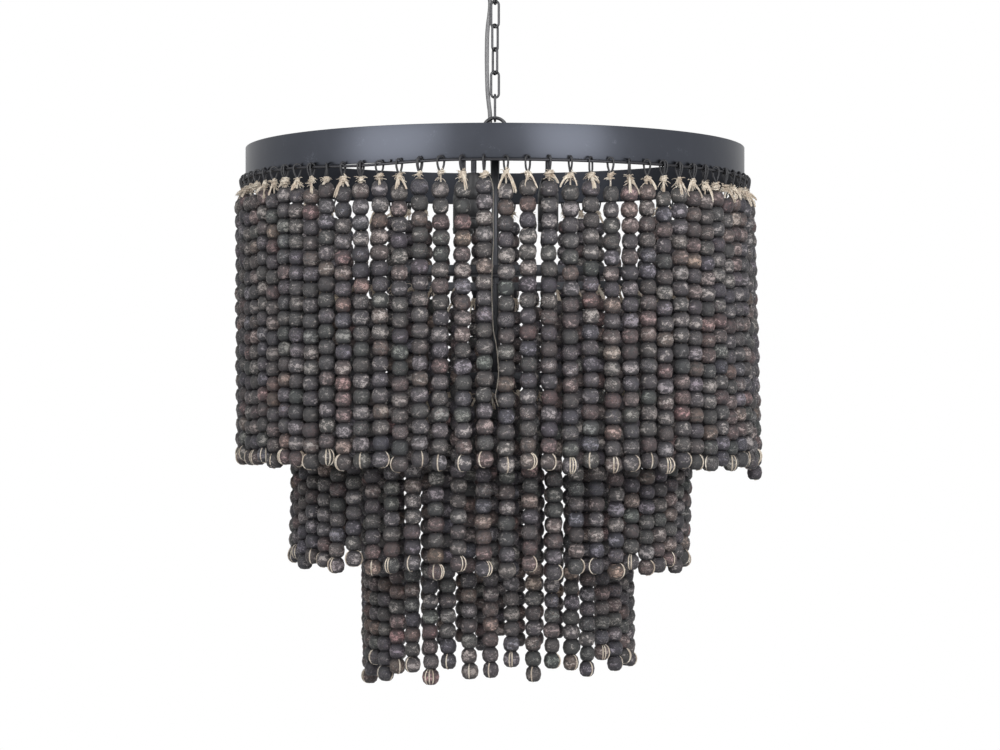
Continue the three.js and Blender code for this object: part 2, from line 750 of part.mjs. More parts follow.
ceilingBracket();
nipple();
canopy();
cableBush('canopy_bush', CABLE_ROUTE[0][0], CABLE_ROUTE[0][1], canopyBottom, CANOPY_WALL);
collarNut();
loopWithBarrel('canopy_loop', canopyRingZ, canopyRingRadius, canopyBarrelBottom, canopyBarrelTop, 1,
  NIPPLE_D + 2 * SEAT_GAP);
chain();
supplyCable();
loopWithBarrel('hub_loop', hubRingZ, hubRingRadius, hubBarrelBottom, hubBarrelTop, -1,
  STEM_D + 2 * SEAT_GAP);
wiringCover();
band('hoop', TIERS[0].wireD, hoopBottom, HOOP_HEIGHT, 'hoop');
band('middle_ring', TIERS[1].wireD, tierBottoms[1], RING_HEIGHT, 'steel');
band('lower_ring', TIERS[2].wireD, tierBottoms[2], RING_HEIGHT, 'steel');
spiders();
addPiece('stem', rod(STEM_D, stemBottom, stemTop), 'steel');
finial();
lampTubes();
strands();

export default group;
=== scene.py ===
# Beaded chandelier: three tiers of bead strands on a steel frame that hangs from a chain.
# Metres, +Z up. The origin is the point of the ceiling plane above the axis.

import json
import math
import random

import bmesh
import bpy
from mathutils import Matrix, Vector, geometry


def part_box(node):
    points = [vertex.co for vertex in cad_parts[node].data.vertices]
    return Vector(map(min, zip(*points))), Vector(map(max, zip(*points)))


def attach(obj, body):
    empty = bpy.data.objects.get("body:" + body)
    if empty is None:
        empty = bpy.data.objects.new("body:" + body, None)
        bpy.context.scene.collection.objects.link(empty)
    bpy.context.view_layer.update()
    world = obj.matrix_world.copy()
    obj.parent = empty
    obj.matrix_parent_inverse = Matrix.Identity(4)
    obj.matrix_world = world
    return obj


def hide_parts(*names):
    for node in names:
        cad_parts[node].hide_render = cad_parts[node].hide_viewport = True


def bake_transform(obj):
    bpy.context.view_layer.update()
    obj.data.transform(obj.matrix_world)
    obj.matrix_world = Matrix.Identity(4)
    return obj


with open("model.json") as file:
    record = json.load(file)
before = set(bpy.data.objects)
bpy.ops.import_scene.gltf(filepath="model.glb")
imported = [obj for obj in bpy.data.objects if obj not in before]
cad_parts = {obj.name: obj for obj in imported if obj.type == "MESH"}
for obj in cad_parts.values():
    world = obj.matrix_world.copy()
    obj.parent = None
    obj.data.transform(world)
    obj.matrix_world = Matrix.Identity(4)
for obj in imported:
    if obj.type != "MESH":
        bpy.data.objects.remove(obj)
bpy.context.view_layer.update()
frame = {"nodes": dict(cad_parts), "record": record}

bl_info = {
    "name": "Beaded chandelier",
    "version": (1, 0, 0),
    "blender": (4, 5, 0),
    "location": "View3D > Sidebar > Chandelier",
    "description": "Finishes and fine shapes of a three-tier beaded chandelier on its packed frame",
    "category": "Add Mesh",
}

MM = 0.001
TURN = 2 * math.pi
DOUBLES = 0.002 * MM
UNIT = (0.0, 1.0)

# Strands, as the frame's solids have them: how uneven a tier's ends are, where its first strand
# starts in degrees from +X, and which strands swing by themselves. The leans are how far to +X
# the foot of the strands hangs that are furthest left and furthest right, the extra drops are how
# much lower those strands hang, and the longer strands have one bead more.
UNEVEN_STEP = 2.4
TIERS = {
    "upper": {
        "band": "hoop", "strands": 81, "groups": 9, "uneven": 3 * MM, "turn": -1.11,
        "swing": (7, 62), "longer": (80,), "left_lean": 1.5 * MM, "right_lean": 9 * MM,
        "left_drop": 0, "right_drop": 4.5 * MM,
    },
    "middle": {
        "band": "middle_ring", "strands": 55, "groups": 5, "uneven": 5 * MM, "turn": 1.64,
        "swing": (2, 38), "longer": (), "left_lean": -6 * MM, "right_lean": -7 * MM,
        "left_drop": 0, "right_drop": 5 * MM,
    },
    "lower": {
        "band": "lower_ring", "strands": 40, "groups": 5, "uneven": 9 * MM, "turn": 2.25,
        "swing": (4, 29), "longer": (20,), "left_lean": 4.5 * MM, "right_lean": 4.5 * MM,
        "left_drop": 10 * MM, "right_drop": 0,
    },
}
WIRE_D = 3 * MM
WIRE_RISE = 0.5 * MM
BAND_TO_WIRE = 3.5 * MM
PEG_AFTER = 2  # number of a group's strands before its peg

# Sag of the upper wire between two pegs at the front left: its depth, the direction of its middle
# in degrees from +X, and how far it reaches to each side of that
SAG = 3 * MM
SAG_TURN = 241
SAG_REACH = 22

# Sheets, holes and round wire that several pieces share
CANOPY_SHEET = 1.2 * MM
COVER_SHEET = 1 * MM
NIPPLE_HOLE = 5.3 * MM
STEM_HOLE = 4.3 * MM
BUSH_HOLE = 4.8 * MM
LOOP_WIRE_D = 4 * MM
LINK_WIRE_D = 2.8 * MM
LINK_WIDTH = 12 * MM

LAMPS = 3

# Loose end of twine at the front: its strand, and its route out, along and up from the wire
STRAY_STRAND = ("hoop", 60)
STRAY_ROUTE = [
    (1, 2, -14), (6, 6, -18), (8, 9, -26), (8.4, 10, -40), (7.6, 9.6, -60), (8, 10, -84),
    (8.4, 9, -104), (8, 8.4, -124), (7.8, 8.5, -145), (8.2, 10, -176), (8.6, 13, -191),
    (8.6, 15.2, -217), (8.2, 14, -232), (8, 12, -243), (8.6, 15, -254),
]

# Supply cable, from inside the canopy, beside the chain, into the wiring cover
CABLE_D = 5 * MM
CABLE_ROUTE = [
    (-12, 9, -12), (-12, 9, -20), (-12, 9, -28), (-11.8, 9, -36), (-11, 8.8, -46),
    (-9.5, 8.2, -58), (-7.6, 7.2, -70), (-6, 6.6, -80), (-5.6, 6.4, -88), (-6.4, 6.2, -98),
    (-8, 5.6, -110), (-9, 5, -122), (-9.3, 4.6, -136), (-9.4, 4.4, -150), (-9.3, 4.4, -164),
    (-9, 4.6, -178), (-8.4, 5, -190), (-7.2, 5.6, -202), (-6, 6.6, -212), (-5.7, 8.4, -222),
    (-6.7, 11, -231), (-7.8, 12.7, -238.5), (-8, 13, -244), (-8, 13, -253.4),
]

# Tints that beads take by chance, as places on a ramp: slate, warm grey, moss, brown, copper, tan
BEAD_TINTS = [
    (0.0, (0.043, 0.044, 0.058)), (0.32, (0.057, 0.049, 0.061)), (0.52, (0.043, 0.05, 0.05)),
    (0.72, (0.068, 0.055, 0.057)), (0.89, (0.102, 0.067, 0.068)), (1.0, (0.152, 0.112, 0.094)),
]
FLECK_TINTS = [
    (0.0, (0.31, 0.31, 0.37)), (0.32, (0.38, 0.325, 0.38)), (0.52, (0.3, 0.33, 0.3)),
    (0.72, (0.43, 0.335, 0.33)), (0.89, (0.56, 0.34, 0.34)), (1.0, (0.64, 0.49, 0.38)),
]

# Photograph's view: the distance as a share of the hoop's radius, places in pixels of a picture
# 1000 wide, the sensor's width in millimetres, and the height of the eye
CAMERA_DISTANCE_SHARE = 9
FOCAL_PIXELS = 2259
IMAGE_WIDTH = 1000
IMAGE_CENTRE = (500, 375)
AXIS_PIXEL = 495
HORIZON_PIXEL = 380
SENSOR = 36
EYE_LEVEL = -522 * MM

# Stage, in metres
FLOOR_RADIUS = 3.4
LIGHT_DISTANCE = 2.3
LIGHT_AIM = (0, 0, -0.5)
BACK_FILL_SHARE = 0.6


# Places taken from the frame

def low(node):
    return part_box(node)[0].z


def high(node):
    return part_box(node)[1].z


def radius_of(node):
    """Outer radius of a round node on the axis."""
    return -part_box(node)[0].y


def middle_of(node):
    first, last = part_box(node)
    return (first + last) / 2


def wire_radius(tier):
    return radius_of(tier["band"]) + BAND_TO_WIRE


def tier_angle(tier, place):
    """Direction of a place along a tier's wire, counted in strands."""
    return math.radians(tier["turn"]) + place * TURN / tier["strands"]


def wire_height(tier):
    return low(tier["band"]) + WIRE_RISE


# Mesh helpers

def circle_of_points(bm, radius, sides, matrix):
    """A ring of edges, for a wire or a wall."""
    return bmesh.ops.create_circle(bm, radius=radius, segments=sides, matrix=matrix)["verts"]


def edges_of(verts):
    chosen = set(verts)
    return [e for v in verts for e in v.link_edges if e.other_vert(v) in chosen and e.verts[0] == v]


def verts_in(made):
    return [v for v in made if isinstance(v, bmesh.types.BMVert)]


def way_of(angle, rise=0):
    """Direction at an angle about the upright, level or with a rise."""
    return Vector((math.cos(angle), math.sin(angle), rise))


def curved(steps, *corners):
    """Points of a smooth profile from the first to the last of four [radius, height] places."""
    return [tuple(p) for p in geometry.interpolate_bezier(*map(Vector, corners), steps)]


def smoothed(route, steps):
    """Close points of a smooth line through a route."""
    line = []
    for i, (start, end) in enumerate(zip(route, route[1:])):
        before, after = route[max(i - 1, 0)], route[min(i + 2, len(route) - 1)]
        line += geometry.interpolate_bezier(
            start, start + (end - before) / 6, end - (after - start) / 6, end, steps + 1)[:-1]
    return line + [route[-1]]


def spun(bm, profile, steps, centre=(0, 0)):
    """A closed shape from [radius, height] points that turn about an upright axis."""
    x, y = centre
    verts = [bm.verts.new((x + out, y, up)) for out, up in profile]
    edges = [bm.edges.new(pair) for pair in zip(verts, verts[1:])]
    bmesh.ops.spin(
        bm, geom=verts + edges, cent=(x, y, 0), axis=(0, 0, 1), dvec=(0, 0, 0),
        angle=TURN, steps=steps, use_merge=True, use_duplicate=False,
    )
    tidy(bm)


def tidy(bm):
    bmesh.ops.remove_doubles(bm, verts=bm.verts, dist=DOUBLES)
    bmesh.ops.dissolve_degenerate(bm, edges=bm.edges, dist=DOUBLES)
    bmesh.ops.recalc_face_normals(bm, faces=bm.faces)


def soften(bm, width, crease):
    """Rounds each edge whose two faces meet at more than a number of degrees."""
    limit = math.radians(crease)
    sharp = [e for e in bm.edges if len(e.link_faces) == 2 and e.calc_face_angle() > limit]
    bmesh.ops.bevel(
        bm, geom=sharp, offset=width, offset_type="OFFSET", segments=2, affect="EDGES",
        profile=0.5, material=-1, clamp_overlap=True,
    )


def mesh_of(bm, name):
    """A bmesh made a mesh, which ends the bmesh."""
    mesh = bpy.data.meshes.new(name)
    bm.to_mesh(mesh)
    bm.free()
    return mesh


def linked(name, data):
    """An object at the origin, in the scene."""
    made = bpy.data.objects.new(name, data)
    bpy.context.scene.collection.objects.link(made)
    return made


def piece(name, bm, finishes, body=None, replaces=(), crease=40):
    """A finished object from a bmesh in place. It is creased where faces meet at more degrees."""
    mesh = mesh_of(bm, name)
    mesh.shade_smooth()
    mesh.set_sharp_from_angle(angle=math.radians(crease))
    for label in finishes:
        mesh.materials.append(finish(label))
    made = linked(name, mesh)
    if body:
        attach(made, body)
    if replaces:
        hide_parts(*replaces)
    return made


def turned_piece(name, profile, steps, label, body, node, crease=40, centre=(0, 0)):
    """A piece from a closed profile that turns about an upright axis, in place of a node."""
    bm = bmesh.new()
    spun(bm, profile, steps, centre)
    return piece(name, bm, [label], body, [node], crease)


def thread_mesh(runs, radius, resolution, material_index):
    """Round threads along runs of (points, radius shares, closed), as one mesh."""
    curve = bpy.data.curves.new("threads", "CURVE")
    curve.dimensions = "3D"
    curve.bevel_depth = radius
    curve.bevel_resolution = resolution
    curve.use_fill_caps = True
    for points, shares, closed in runs:
        spline = curve.splines.new("POLY")
        spline.points.add(len(points) - 1)
        for control, place, share in zip(spline.points, points, shares):
            control.co = (*place, 1)
            control.radius = share
        spline.use_cyclic_u = closed
    holder = bpy.data.objects.new("threads", curve)
    mesh = bpy.data.meshes.new_from_object(holder)
    bpy.data.objects.remove(holder)
    bpy.data.curves.remove(curve)
    mesh.polygons.foreach_set("material_index", [material_index] * len(mesh.polygons))
    return mesh


def add_mesh(bm, mesh):
    bm.from_mesh(mesh)
    bpy.data.meshes.remove(mesh)


def wire_ring(bm, straight, end_radius, thickness, steps, sides, matrix):
    """A closed loop of round wire in the XZ plane: half circles joined by straight sides."""
    made = bmesh.new()
    start = Matrix.Translation((end_radius, 0, straight / 2))
    ring = circle_of_points(made, thickness / 2, sides, start)
    for side in (1, -1):
        turned = bmesh.ops.spin(
            made, geom=ring + edges_of(ring), cent=(0, 0, side * straight / 2), axis=(0, -1, 0),
            dvec=(0, 0, 0), angle=math.pi, steps=steps, use_merge=False, use_duplicate=False,
        )
        ring = verts_in(turned["geom_last"])
        if straight:
            run = bmesh.ops.extrude_edge_only(made, edges=edges_of(ring))
            ring = verts_in(run["geom"])
            bmesh.ops.translate(made, verts=ring, vec=(0, 0, -side * straight))
    tidy(made)
    bmesh.ops.transform(made, matrix=matrix, verts=made.verts)
    add_mesh(bm, mesh_of(made, "wire_ring"))


def drill(target, bush, start, end):
    """Cuts the hole of a bush through a finished piece, between two heights."""
    place = middle_of(bush)
    place.z = (start + end) / 2
    tool = bmesh.new()
    bmesh.ops.create_cone(
        tool, cap_ends=True, segments=32, radius1=BUSH_HOLE, radius2=BUSH_HOLE, depth=end - start,
        matrix=Matrix.Translation(place),
    )
    mesh = mesh_of(tool, "drill")
    bit = linked("drill", mesh)
    cut = target.modifiers.new("hole", "BOOLEAN")
    cut.object = bit
    cut.operation = "DIFFERENCE"
    graph = bpy.context.evaluated_depsgraph_get()
    result = bpy.data.meshes.new_from_object(target.evaluated_get(graph))
    target.modifiers.clear()
    old = target.data
    target.data = result
    bpy.data.meshes.remove(old)
    bpy.data.objects.remove(bit)
    bpy.data.meshes.remove(mesh)


# Node helpers

def feed(tree, node, inputs):
    """Sets a node's inputs to values, or links them to sockets."""
    for key, value in inputs.items():
        if isinstance(value, bpy.types.NodeSocket):
            tree.links.new(value, node.inputs[key])
        else:
            node.inputs[key].default_value = value


def put(tree, kind, inputs=None, **settings):
    """A node with its settings and inputs."""
    node = tree.nodes.new(kind)
    for key, value in settings.items():
        setattr(node, key, value)
    feed(tree, node, inputs or {})
    return node


def sum_of(tree, operation, *values):
    """The result of a Math node on values or sockets."""
    return put(tree, "ShaderNodeMath", dict(enumerate(values)), operation=operation).outputs[0]


def noise(tree, vector, scale, detail, roughness=0.5, distortion=0.0):
    return put(tree, "ShaderNodeTexNoise", {
        "Vector": vector, "Scale": scale, "Detail": detail, "Roughness": roughness,
        "Distortion": distortion,
    }).outputs["Fac"]


def ranged(tree, value, given, wanted=UNIT, kind="LINEAR"):
    """A value brought from one range into another, and held inside it."""
    return put(tree, "ShaderNodeMapRange", {
        "Value": value, "From Min": given[0], "From Max": given[1],
        "To Min": wanted[0], "To Max": wanted[1],
    }, interpolation_type=kind).outputs[0]


def ramp(tree, fac, stops):
    node = put(tree, "ShaderNodeValToRGB", {"Fac": fac})
    elements = node.color_ramp.elements
    for place, value in stops[2:]:
        elements.new(place)
    for element, (place, value) in zip(elements, stops):
        element.position = place
        element.color = (*value, 1)
    return node.outputs["Color"]


def flecks_group():
    """Scuffs where a dark wash is rubbed through: blotches with rough edges."""
    name = "Rubbed Flecks"
    if name in bpy.data.node_groups:
        return bpy.data.node_groups[name]
    group = bpy.data.node_groups.new(name, "ShaderNodeTree")
    group.interface.new_socket(name="Vector", in_out="INPUT", socket_type="NodeSocketVector")
    for label, value in (("Patch Scale", 150.0), ("Grain Scale", 400.0), ("Cover", 0.5)):
        socket = group.interface.new_socket(name=label, in_out="INPUT", socket_type="NodeSocketFloat")
        socket.default_value = value
    for label in ("Mask", "Height"):
        group.interface.new_socket(name=label, in_out="OUTPUT", socket_type="NodeSocketFloat")
    given = put(group, "NodeGroupInput").outputs
    patches = noise(group, given["Vector"], given["Patch Scale"], 2.0, distortion=0.5)
    grain = noise(group, given["Vector"], given["Grain Scale"], 3.0, 0.6, 1.2)
    height = sum_of(group, "ADD", patches, grain)
    uncovered, per_cover, edge = 1.23, -0.26, 0.3
    start = sum_of(group, "MULTIPLY_ADD", given["Cover"], per_cover, uncovered)
    mask = ranged(group, height, (start, sum_of(group, "ADD", start, edge)), kind="SMOOTHSTEP")
    put(group, "NodeGroupOutput", {"Mask": mask, "Height": height})
    return group


def flecks(tree, vector, cover, **scales):
    """Mask and height of the scuffs on a material."""
    inputs = {"Vector": vector, "Cover": cover}
    inputs.update((label.replace("_", " ").title(), value) for label, value in scales.items())
    node = put(tree, "ShaderNodeGroup", node_tree=flecks_group())
    feed(tree, node, inputs)
    return node.outputs["Mask"], node.outputs["Height"]


def mixed(tree, fac, first, second):
    """A colour between two colours, each plain or a socket."""
    node = put(tree, "ShaderNodeMix", {"Factor": fac}, data_type="RGBA")
    for number, colour_of in ((6, first), (7, second)):
        plain = not isinstance(colour_of, bpy.types.NodeSocket)
        feed(tree, node, {number: (*colour_of, 1) if plain else colour_of})
    return node.outputs[2]


def mottled(tree, cloud, tone, share):
    """A colour that is darker and lighter by a share from place to place."""
    return mixed(tree, cloud, [c * (1 - share) for c in tone], [c * (1 + share) for c in tone])


def bumped(tree, shader, height, distance):
    bump = put(tree, "ShaderNodeBump", {"Height": height, "Distance": distance, "Strength": 1.0})
    feed(tree, shader, {"Normal": bump.outputs["Normal"]})


def new_material(name, roughness, metallic=0.0):
    """A material with its shader, its tree and the object coordinates."""
    material = bpy.data.materials.new(name)
    material.use_nodes = True
    tree = material.node_tree
    shader = next(n for n in tree.nodes if n.type == "BSDF_PRINCIPLED")
    feed(tree, shader, {"Roughness": roughness, "Metallic": metallic})
    place = put(tree, "ShaderNodeTexCoord").outputs["Object"]
    return material, tree, shader, place


# Materials

def bead_material(name, dark, fleck):
    """Wooden beads under a charcoal wash, each with its own tint and wear, with painted shade towards the
    holes and a painted highlight round the belt.
    """
    material, tree, shader, place = new_material(name, 0.5)
    shader.inputs["Specular IOR Level"].default_value = 0.2
    stretch, rarity, wash_scale = (1, 1, 1.5), 1.15, 190.0
    belt_range, belt_sheen_pole_shade_shares = (0.3, 1.0), (0.4, 1.12)
    cover_range, haze_share = (0.55, 1.3), 0.1
    wash_range, roughness_range = (0.36, 0.64), (0.52, 0.75)

    seed = put(tree, "ShaderNodeAttribute", attribute_name="bead_seed").outputs["Fac"]
    belt = put(tree, "ShaderNodeAttribute", attribute_name="bead_belt").outputs["Fac"]
    chance = put(tree, "ShaderNodeTexWhiteNoise", {"W": seed}, noise_dimensions="1D").outputs["Color"]
    grain = put(tree, "ShaderNodeVectorMath", {0: place, 1: stretch, 2: chance},
                operation="MULTIPLY_ADD").outputs[0]
    parts = put(tree, "ShaderNodeSeparateColor", {"Color": chance})
    wear, tint, paleness = (parts.outputs[i] for i in range(3))

    # Few beads are much worn. Flecks gather round each bead's belt, partly as wear and partly as a painted
    # highlight on the bead's middle, and a faint haze of fleck colour there is painted sheen
    belt_sheen_pole_shade = ranged(tree, belt, belt_range, belt_sheen_pole_shade_shares)
    cover = ranged(tree, sum_of(tree, "POWER", wear, rarity), UNIT, cover_range)
    cover = sum_of(tree, "MULTIPLY", cover, belt_sheen_pole_shade)
    mask, height = flecks(tree, grain, cover)
    mask = sum_of(tree, "MULTIPLY_ADD", cover, haze_share, mask)

    # The wash grows darker towards each hole: painted shade in the crease where two beads meet
    wash_thinness_and_shade = ranged(tree, noise(tree, grain, wash_scale, 3.0, 0.6), wash_range)
    wash_thinness_and_shade = sum_of(tree, "MULTIPLY", wash_thinness_and_shade, belt_sheen_pole_shade)
    wash = mixed(tree, wash_thinness_and_shade, dark, ramp(tree, tint, BEAD_TINTS))
    rubbed = mixed(tree, paleness, ramp(tree, tint, FLECK_TINTS), fleck)
    feed(tree, shader, {
        "Base Color": mixed(tree, mask, wash, rubbed),
        "Roughness": ranged(tree, mask, UNIT, roughness_range),
    })
    bumped(tree, shader, height, 0.3 * MM)
    return material


def thread_material(name, dark, light, roughness):
    """Twisted fibre: fine strands that show as streaks and as bump; the dark colour falls in the bump's
    hollows and the light one on its raised strands, partly fibre tone and partly painted shade and highlight.
    """
    material, tree, shader, place = new_material(name, roughness)
    fibre_scale, tuft_scale, light_range = 900.0, 112.5, (0.12, 0.4)
    fibres = noise(tree, place, fibre_scale, 3.0)
    both = sum_of(tree, "MULTIPLY", fibres, noise(tree, place, tuft_scale, 2.0))
    feed(tree, shader, {"Base Color": mixed(tree, ranged(tree, both, light_range), dark, light)})
    bumped(tree, shader, fibres, 0.2 * MM)
    return material


def metal_material(name, paint, roughness, mottling_share=0.1):
    """Satin painted steel: faint mottling, and a few rubbed places."""
    material, tree, shader, place = new_material(name, roughness, 1.0)
    shader.inputs["Specular Tint"].default_value = (0.75, 0.75, 0.75, 1)
    wear, bare_share, spread, grain_scale = 0.12, 2, 0.05, 900.0
    cloud = noise(tree, place, 30.0, 4.0)
    mask, _ = flecks(tree, place, wear, patch_scale=55.0, grain_scale=500.0)
    bare = [bare_share * c for c in paint]
    feed(tree, shader, {
        "Base Color": mixed(tree, mask, mottled(tree, cloud, paint, mottling_share), bare),
        "Roughness": ranged(tree, cloud, UNIT, (roughness - spread, roughness + spread)),
    })
    bumped(tree, shader, noise(tree, place, grain_scale, 2.0), 0.02 * MM)
    return material


def moulded_material(name, tone, roughness):
    """Moulded rubber or plastic with a fine grain."""
    material, tree, shader, place = new_material(name, roughness)
    cloud_scale, grain_scale, mottling_share = 60.0, 1400.0, 0.12
    cloud = noise(tree, place, cloud_scale, 3.0)
    feed(tree, shader, {"Base Color": mottled(tree, cloud, tone, mottling_share)})
    bumped(tree, shader, noise(tree, place, grain_scale, 2.0), 0.03 * MM)
    return material


# Finishes: the slot, what makes the material, the colours that it takes with the share of each,
# and the roughness, with the mottling where it isn't the usual one
FINISHES = {
    "bead_wash": ("bead", bead_material, (("bead_dark", 1), ("fleck", 1))),
    "twine_jute": ("bead", thread_material, (("twine_dark", 1), ("twine_light", 1)), 0.85),
    # A darker copy of the twine: painted shade on the loose end that hangs in the gap between strands
    "twine_grimy": ("bead", thread_material, (("twine_dark", 0.2), ("twine_light", 0.3)), 0.9),
    "cord_waxed": ("bead", thread_material, (("cord", 1), ("cord", 2.2)), 0.5),
    "hoop_satin": ("hoop_steel", metal_material, (("hoop", 1),), 0.33),
    # A darker copy of the hoop's satin finish: painted shade on the hoop's inner side
    "hoop_inside": ("hoop_steel", metal_material, (("hoop", 0.48),), 0.45),
    "wire_black": ("hoop_steel", metal_material, (("wire", 1),), 0.4),
    "frame_paint": ("frame_steel", metal_material, (("steel", 1),), 0.4),
    "chain_dull": ("chain_steel", metal_material, (("chain", 1),), 0.42, 0.2),
    "contact_brass": ("lamp_holder", metal_material, (("brass", 1),), 0.3),
    "cable_sheath": ("cable_sheath", moulded_material, (("cable", 1),), 0.45),
    "holder_moulded": ("lamp_holder", moulded_material, (("holder", 1),), 0.42),
}


def finish(name):
    """The material of that name, made the first time that it is asked for."""
    if name in bpy.data.materials:
        return bpy.data.materials[name]
    _, make, tones, *values = FINISHES[name]
    colours = bpy.context.scene.chandelier_colours
    return make(name, *([share * c for c in getattr(colours, tone)] for tone, share in tones), *values)


# Ceiling fitting

def build_canopy():
    """Spun dish with a rolled rim, a drawn centre and a hole for the cable's bush."""
    rim, top, bottom = radius_of("canopy"), high("canopy"), low("canopy")
    wall, bore = CANOPY_SHEET, NIPPLE_HOLE
    flat, corner, steps = 23 * MM, 3 * MM, 14
    shoulder = rim - 9 * MM
    lip = top - 3 * MM
    outside = curved(steps, (rim, lip), (rim - corner, bottom + corner), (shoulder, bottom), (flat, bottom))
    inside = curved(
        steps, (flat, bottom + wall), (shoulder - wall, bottom + wall),
        (rim - corner - wall, bottom + corner + wall), (rim - wall, lip),
    )
    crown = (rim - wall / 2, top)
    profile = [crown, (rim - 0.1 * wall, top - 0.3 * wall), *outside]
    profile += [(bore + 0.4 * wall, bottom), (bore, bottom + 0.4 * wall), (bore, bottom + wall)]
    profile += [*inside, (rim - 0.9 * wall, top - 0.3 * wall), crown]
    dish = turned_piece("canopy_dish", profile, 96, "frame_paint", "ceiling_fitting", "canopy")
    drill(dish, "canopy_bush", bottom - 3 * MM, bottom + 4 * MM)


def build_bush(name, body, sheet_low, sheet):
    """Rubber bush: a rounded flange under the sheet, and a sleeve through it."""
    place, bottom, top = middle_of(name), low(name), high(name)
    bore = CABLE_D / 2 + 0.15 * MM
    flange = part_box(name)[1].x - place.x
    sleeve, edge, gap = 4.5 * MM, 0.4 * MM, 0.1 * MM
    profile = [
        (bore, bottom + edge), (bore + edge, bottom), (flange - edge, bottom),
        (flange, bottom + edge), (flange, sheet_low - gap), (sleeve, sheet_low - gap),
        (sleeve, sheet_low + sheet + gap), (sleeve + 0.5 * edge, top - edge),
        (sleeve - edge, top), (bore + edge, top), (bore, top - edge), (bore, bottom + edge),
    ]
    centre = (place.x, place.y)
    turned_piece(name + "_rubber", profile, 40, "cable_sheath", body, name, 60, centre)


def build_collar_nut():
    """Knurled ring under the canopy."""
    outer, top, bottom = radius_of("collar_nut"), high("collar_nut"), low("collar_nut")
    grips, per_grip, groove_share = 20, 4, 0.92
    bm = bmesh.new()
    matrix = Matrix.Translation((0, 0, bottom))
    ring = circle_of_points(bm, outer, per_grip * grips, matrix)
    for number, vert in enumerate(ring):
        if number % per_grip >= per_grip / 2:
            vert.co.xy *= groove_share
    hole = circle_of_points(bm, NIPPLE_HOLE, per_grip * grips, matrix)
    bmesh.ops.bridge_loops(bm, edges=edges_of(ring) + edges_of(hole))
    up = bmesh.ops.extrude_face_region(bm, geom=list(bm.faces))
    bmesh.ops.translate(bm, verts=verts_in(up["geom"]), vec=(0, 0, top - bottom))
    tidy(bm)
    soften(bm, 0.35 * MM, 50)
    piece("collar_nut_knurled", bm, ["frame_paint"], "ceiling_fitting", ["collar_nut"])


def build_loop(name, body, barrel_up):
    """Ring of heavy wire welded to a turned barrel, which is above it or under it."""
    first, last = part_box(name)
    wire, barrel, edge, depth = LOOP_WIRE_D, 7 * MM, 0.6 * MM, 5 * MM
    ring_radius = (last.x - first.x) / 2 - wire / 2
    side = -1 if barrel_up else 1
    mouth = last.z if barrel_up else first.z
    other = mouth + side * (7 if barrel_up else 11) * MM
    far = first.z if barrel_up else last.z
    bore = NIPPLE_HOLE if barrel_up else STEM_HOLE
    groove = (mouth + other) / 2
    bm = bmesh.new()
    ring_place = Matrix.Translation((0, 0, far - side * (ring_radius + wire / 2)))
    wire_ring(bm, 0, ring_radius, wire, 28, 16, ring_place)
    profile = [
        (0, mouth + side * depth), (bore, mouth + side * depth), (bore, mouth), (barrel - edge, mouth),
        (barrel, mouth + side * edge), (barrel, groove - side * 0.8 * edge),
        (barrel - 0.6 * edge, groove), (barrel, groove + side * 0.8 * edge),
        (barrel, other - side * 2 * edge), (barrel - 2 * edge, other), (0, other),
    ]
    turned = bmesh.new()
    spun(turned, profile, 48)
    add_mesh(bm, mesh_of(turned, "barrel"))
    piece(name + "_wire", bm, ["chain_dull"], body, [name])


def build_chain():
    """Oval links of round wire, each with its butt weld on one side."""
    links = [n for n in frame["nodes"] if n.startswith("chain_link_")]
    end_radius = (LINK_WIDTH - LINK_WIRE_D) / 2
    weld_radius, weld_height_share = 0.56 * LINK_WIRE_D, 0.55
    for number in range(1, len(links) + 1):
        node = f"chain_link_{number}"
        first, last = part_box(node)
        straight = last.z - first.z - LINK_WIDTH
        middle = Matrix.Translation((0, 0, (first.z + last.z) / 2))
        matrix = middle @ Matrix.Rotation(link_turn(node), 4, "Z")
        bm = bmesh.new()
        wire_ring(bm, straight, end_radius, LINK_WIRE_D, 14, 14, matrix)
        weld = bmesh.new()
        bmesh.ops.create_uvsphere(weld, u_segments=14, v_segments=8, radius=weld_radius)
        bmesh.ops.scale(weld, vec=(1, 1, weld_height_share), verts=weld.verts)
        seat = matrix @ Matrix.Translation((end_radius, 0, 0))
        bmesh.ops.transform(weld, matrix=seat, verts=weld.verts)
        add_mesh(bm, mesh_of(weld, "weld"))
        piece(f"link_{number}_wire", bm, ["chain_dull"], f"link_{number}", [node])


def link_turn(node):
    """A link's turn about the chain's line, from the vertex that lies furthest from it."""
    verts = frame["nodes"][node].data.vertices
    far = max(verts, key=lambda v: v.co.xy.length)
    return math.atan2(far.co.y, far.co.x)


# Supply cable

def build_cable():
    """The cable in stretches, one for each joint of the chain."""
    line = smoothed([Vector(p) * MM for p in CABLE_ROUTE], 6)
    joints = [j for j in frame["record"]["behaviour"]["joints"] if j["name"].startswith("chain_swing")]
    heights = [j["pos_m"][2] for j in joints]
    reach, overlap, tucked_share = 8 * MM, 3.5 * MM, 0.95
    meets = [(a + b) / 2 for a, b in zip(heights, heights[1:])]
    tops = [line[0].z + MM] + [m + overlap for m in meets]
    bottoms = [m - overlap for m in meets] + [line[-1].z - MM]
    for number, (joint, height) in enumerate(zip(joints, heights)):
        run = [p for p in line if bottoms[number] <= p.z <= tops[number]]
        shares = [1.0] * len(run)
        for i, point in enumerate(run):
            past_top = number > 0 and point.z > meets[number - 1]
            past_bottom = number < len(meets) and point.z < meets[number]
            if past_top or past_bottom:
                shares[i] = tucked_share
        name = f"cable_stretch_{number + 1}"
        bm = bmesh.new()
        add_mesh(bm, thread_mesh([(run, shares, False)], CABLE_D / 2, 4, 0))
        made = piece(name, bm, ["cable_sheath"], None, ["supply_cable"])
        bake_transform(made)


# Hoop, rings and hanging wires

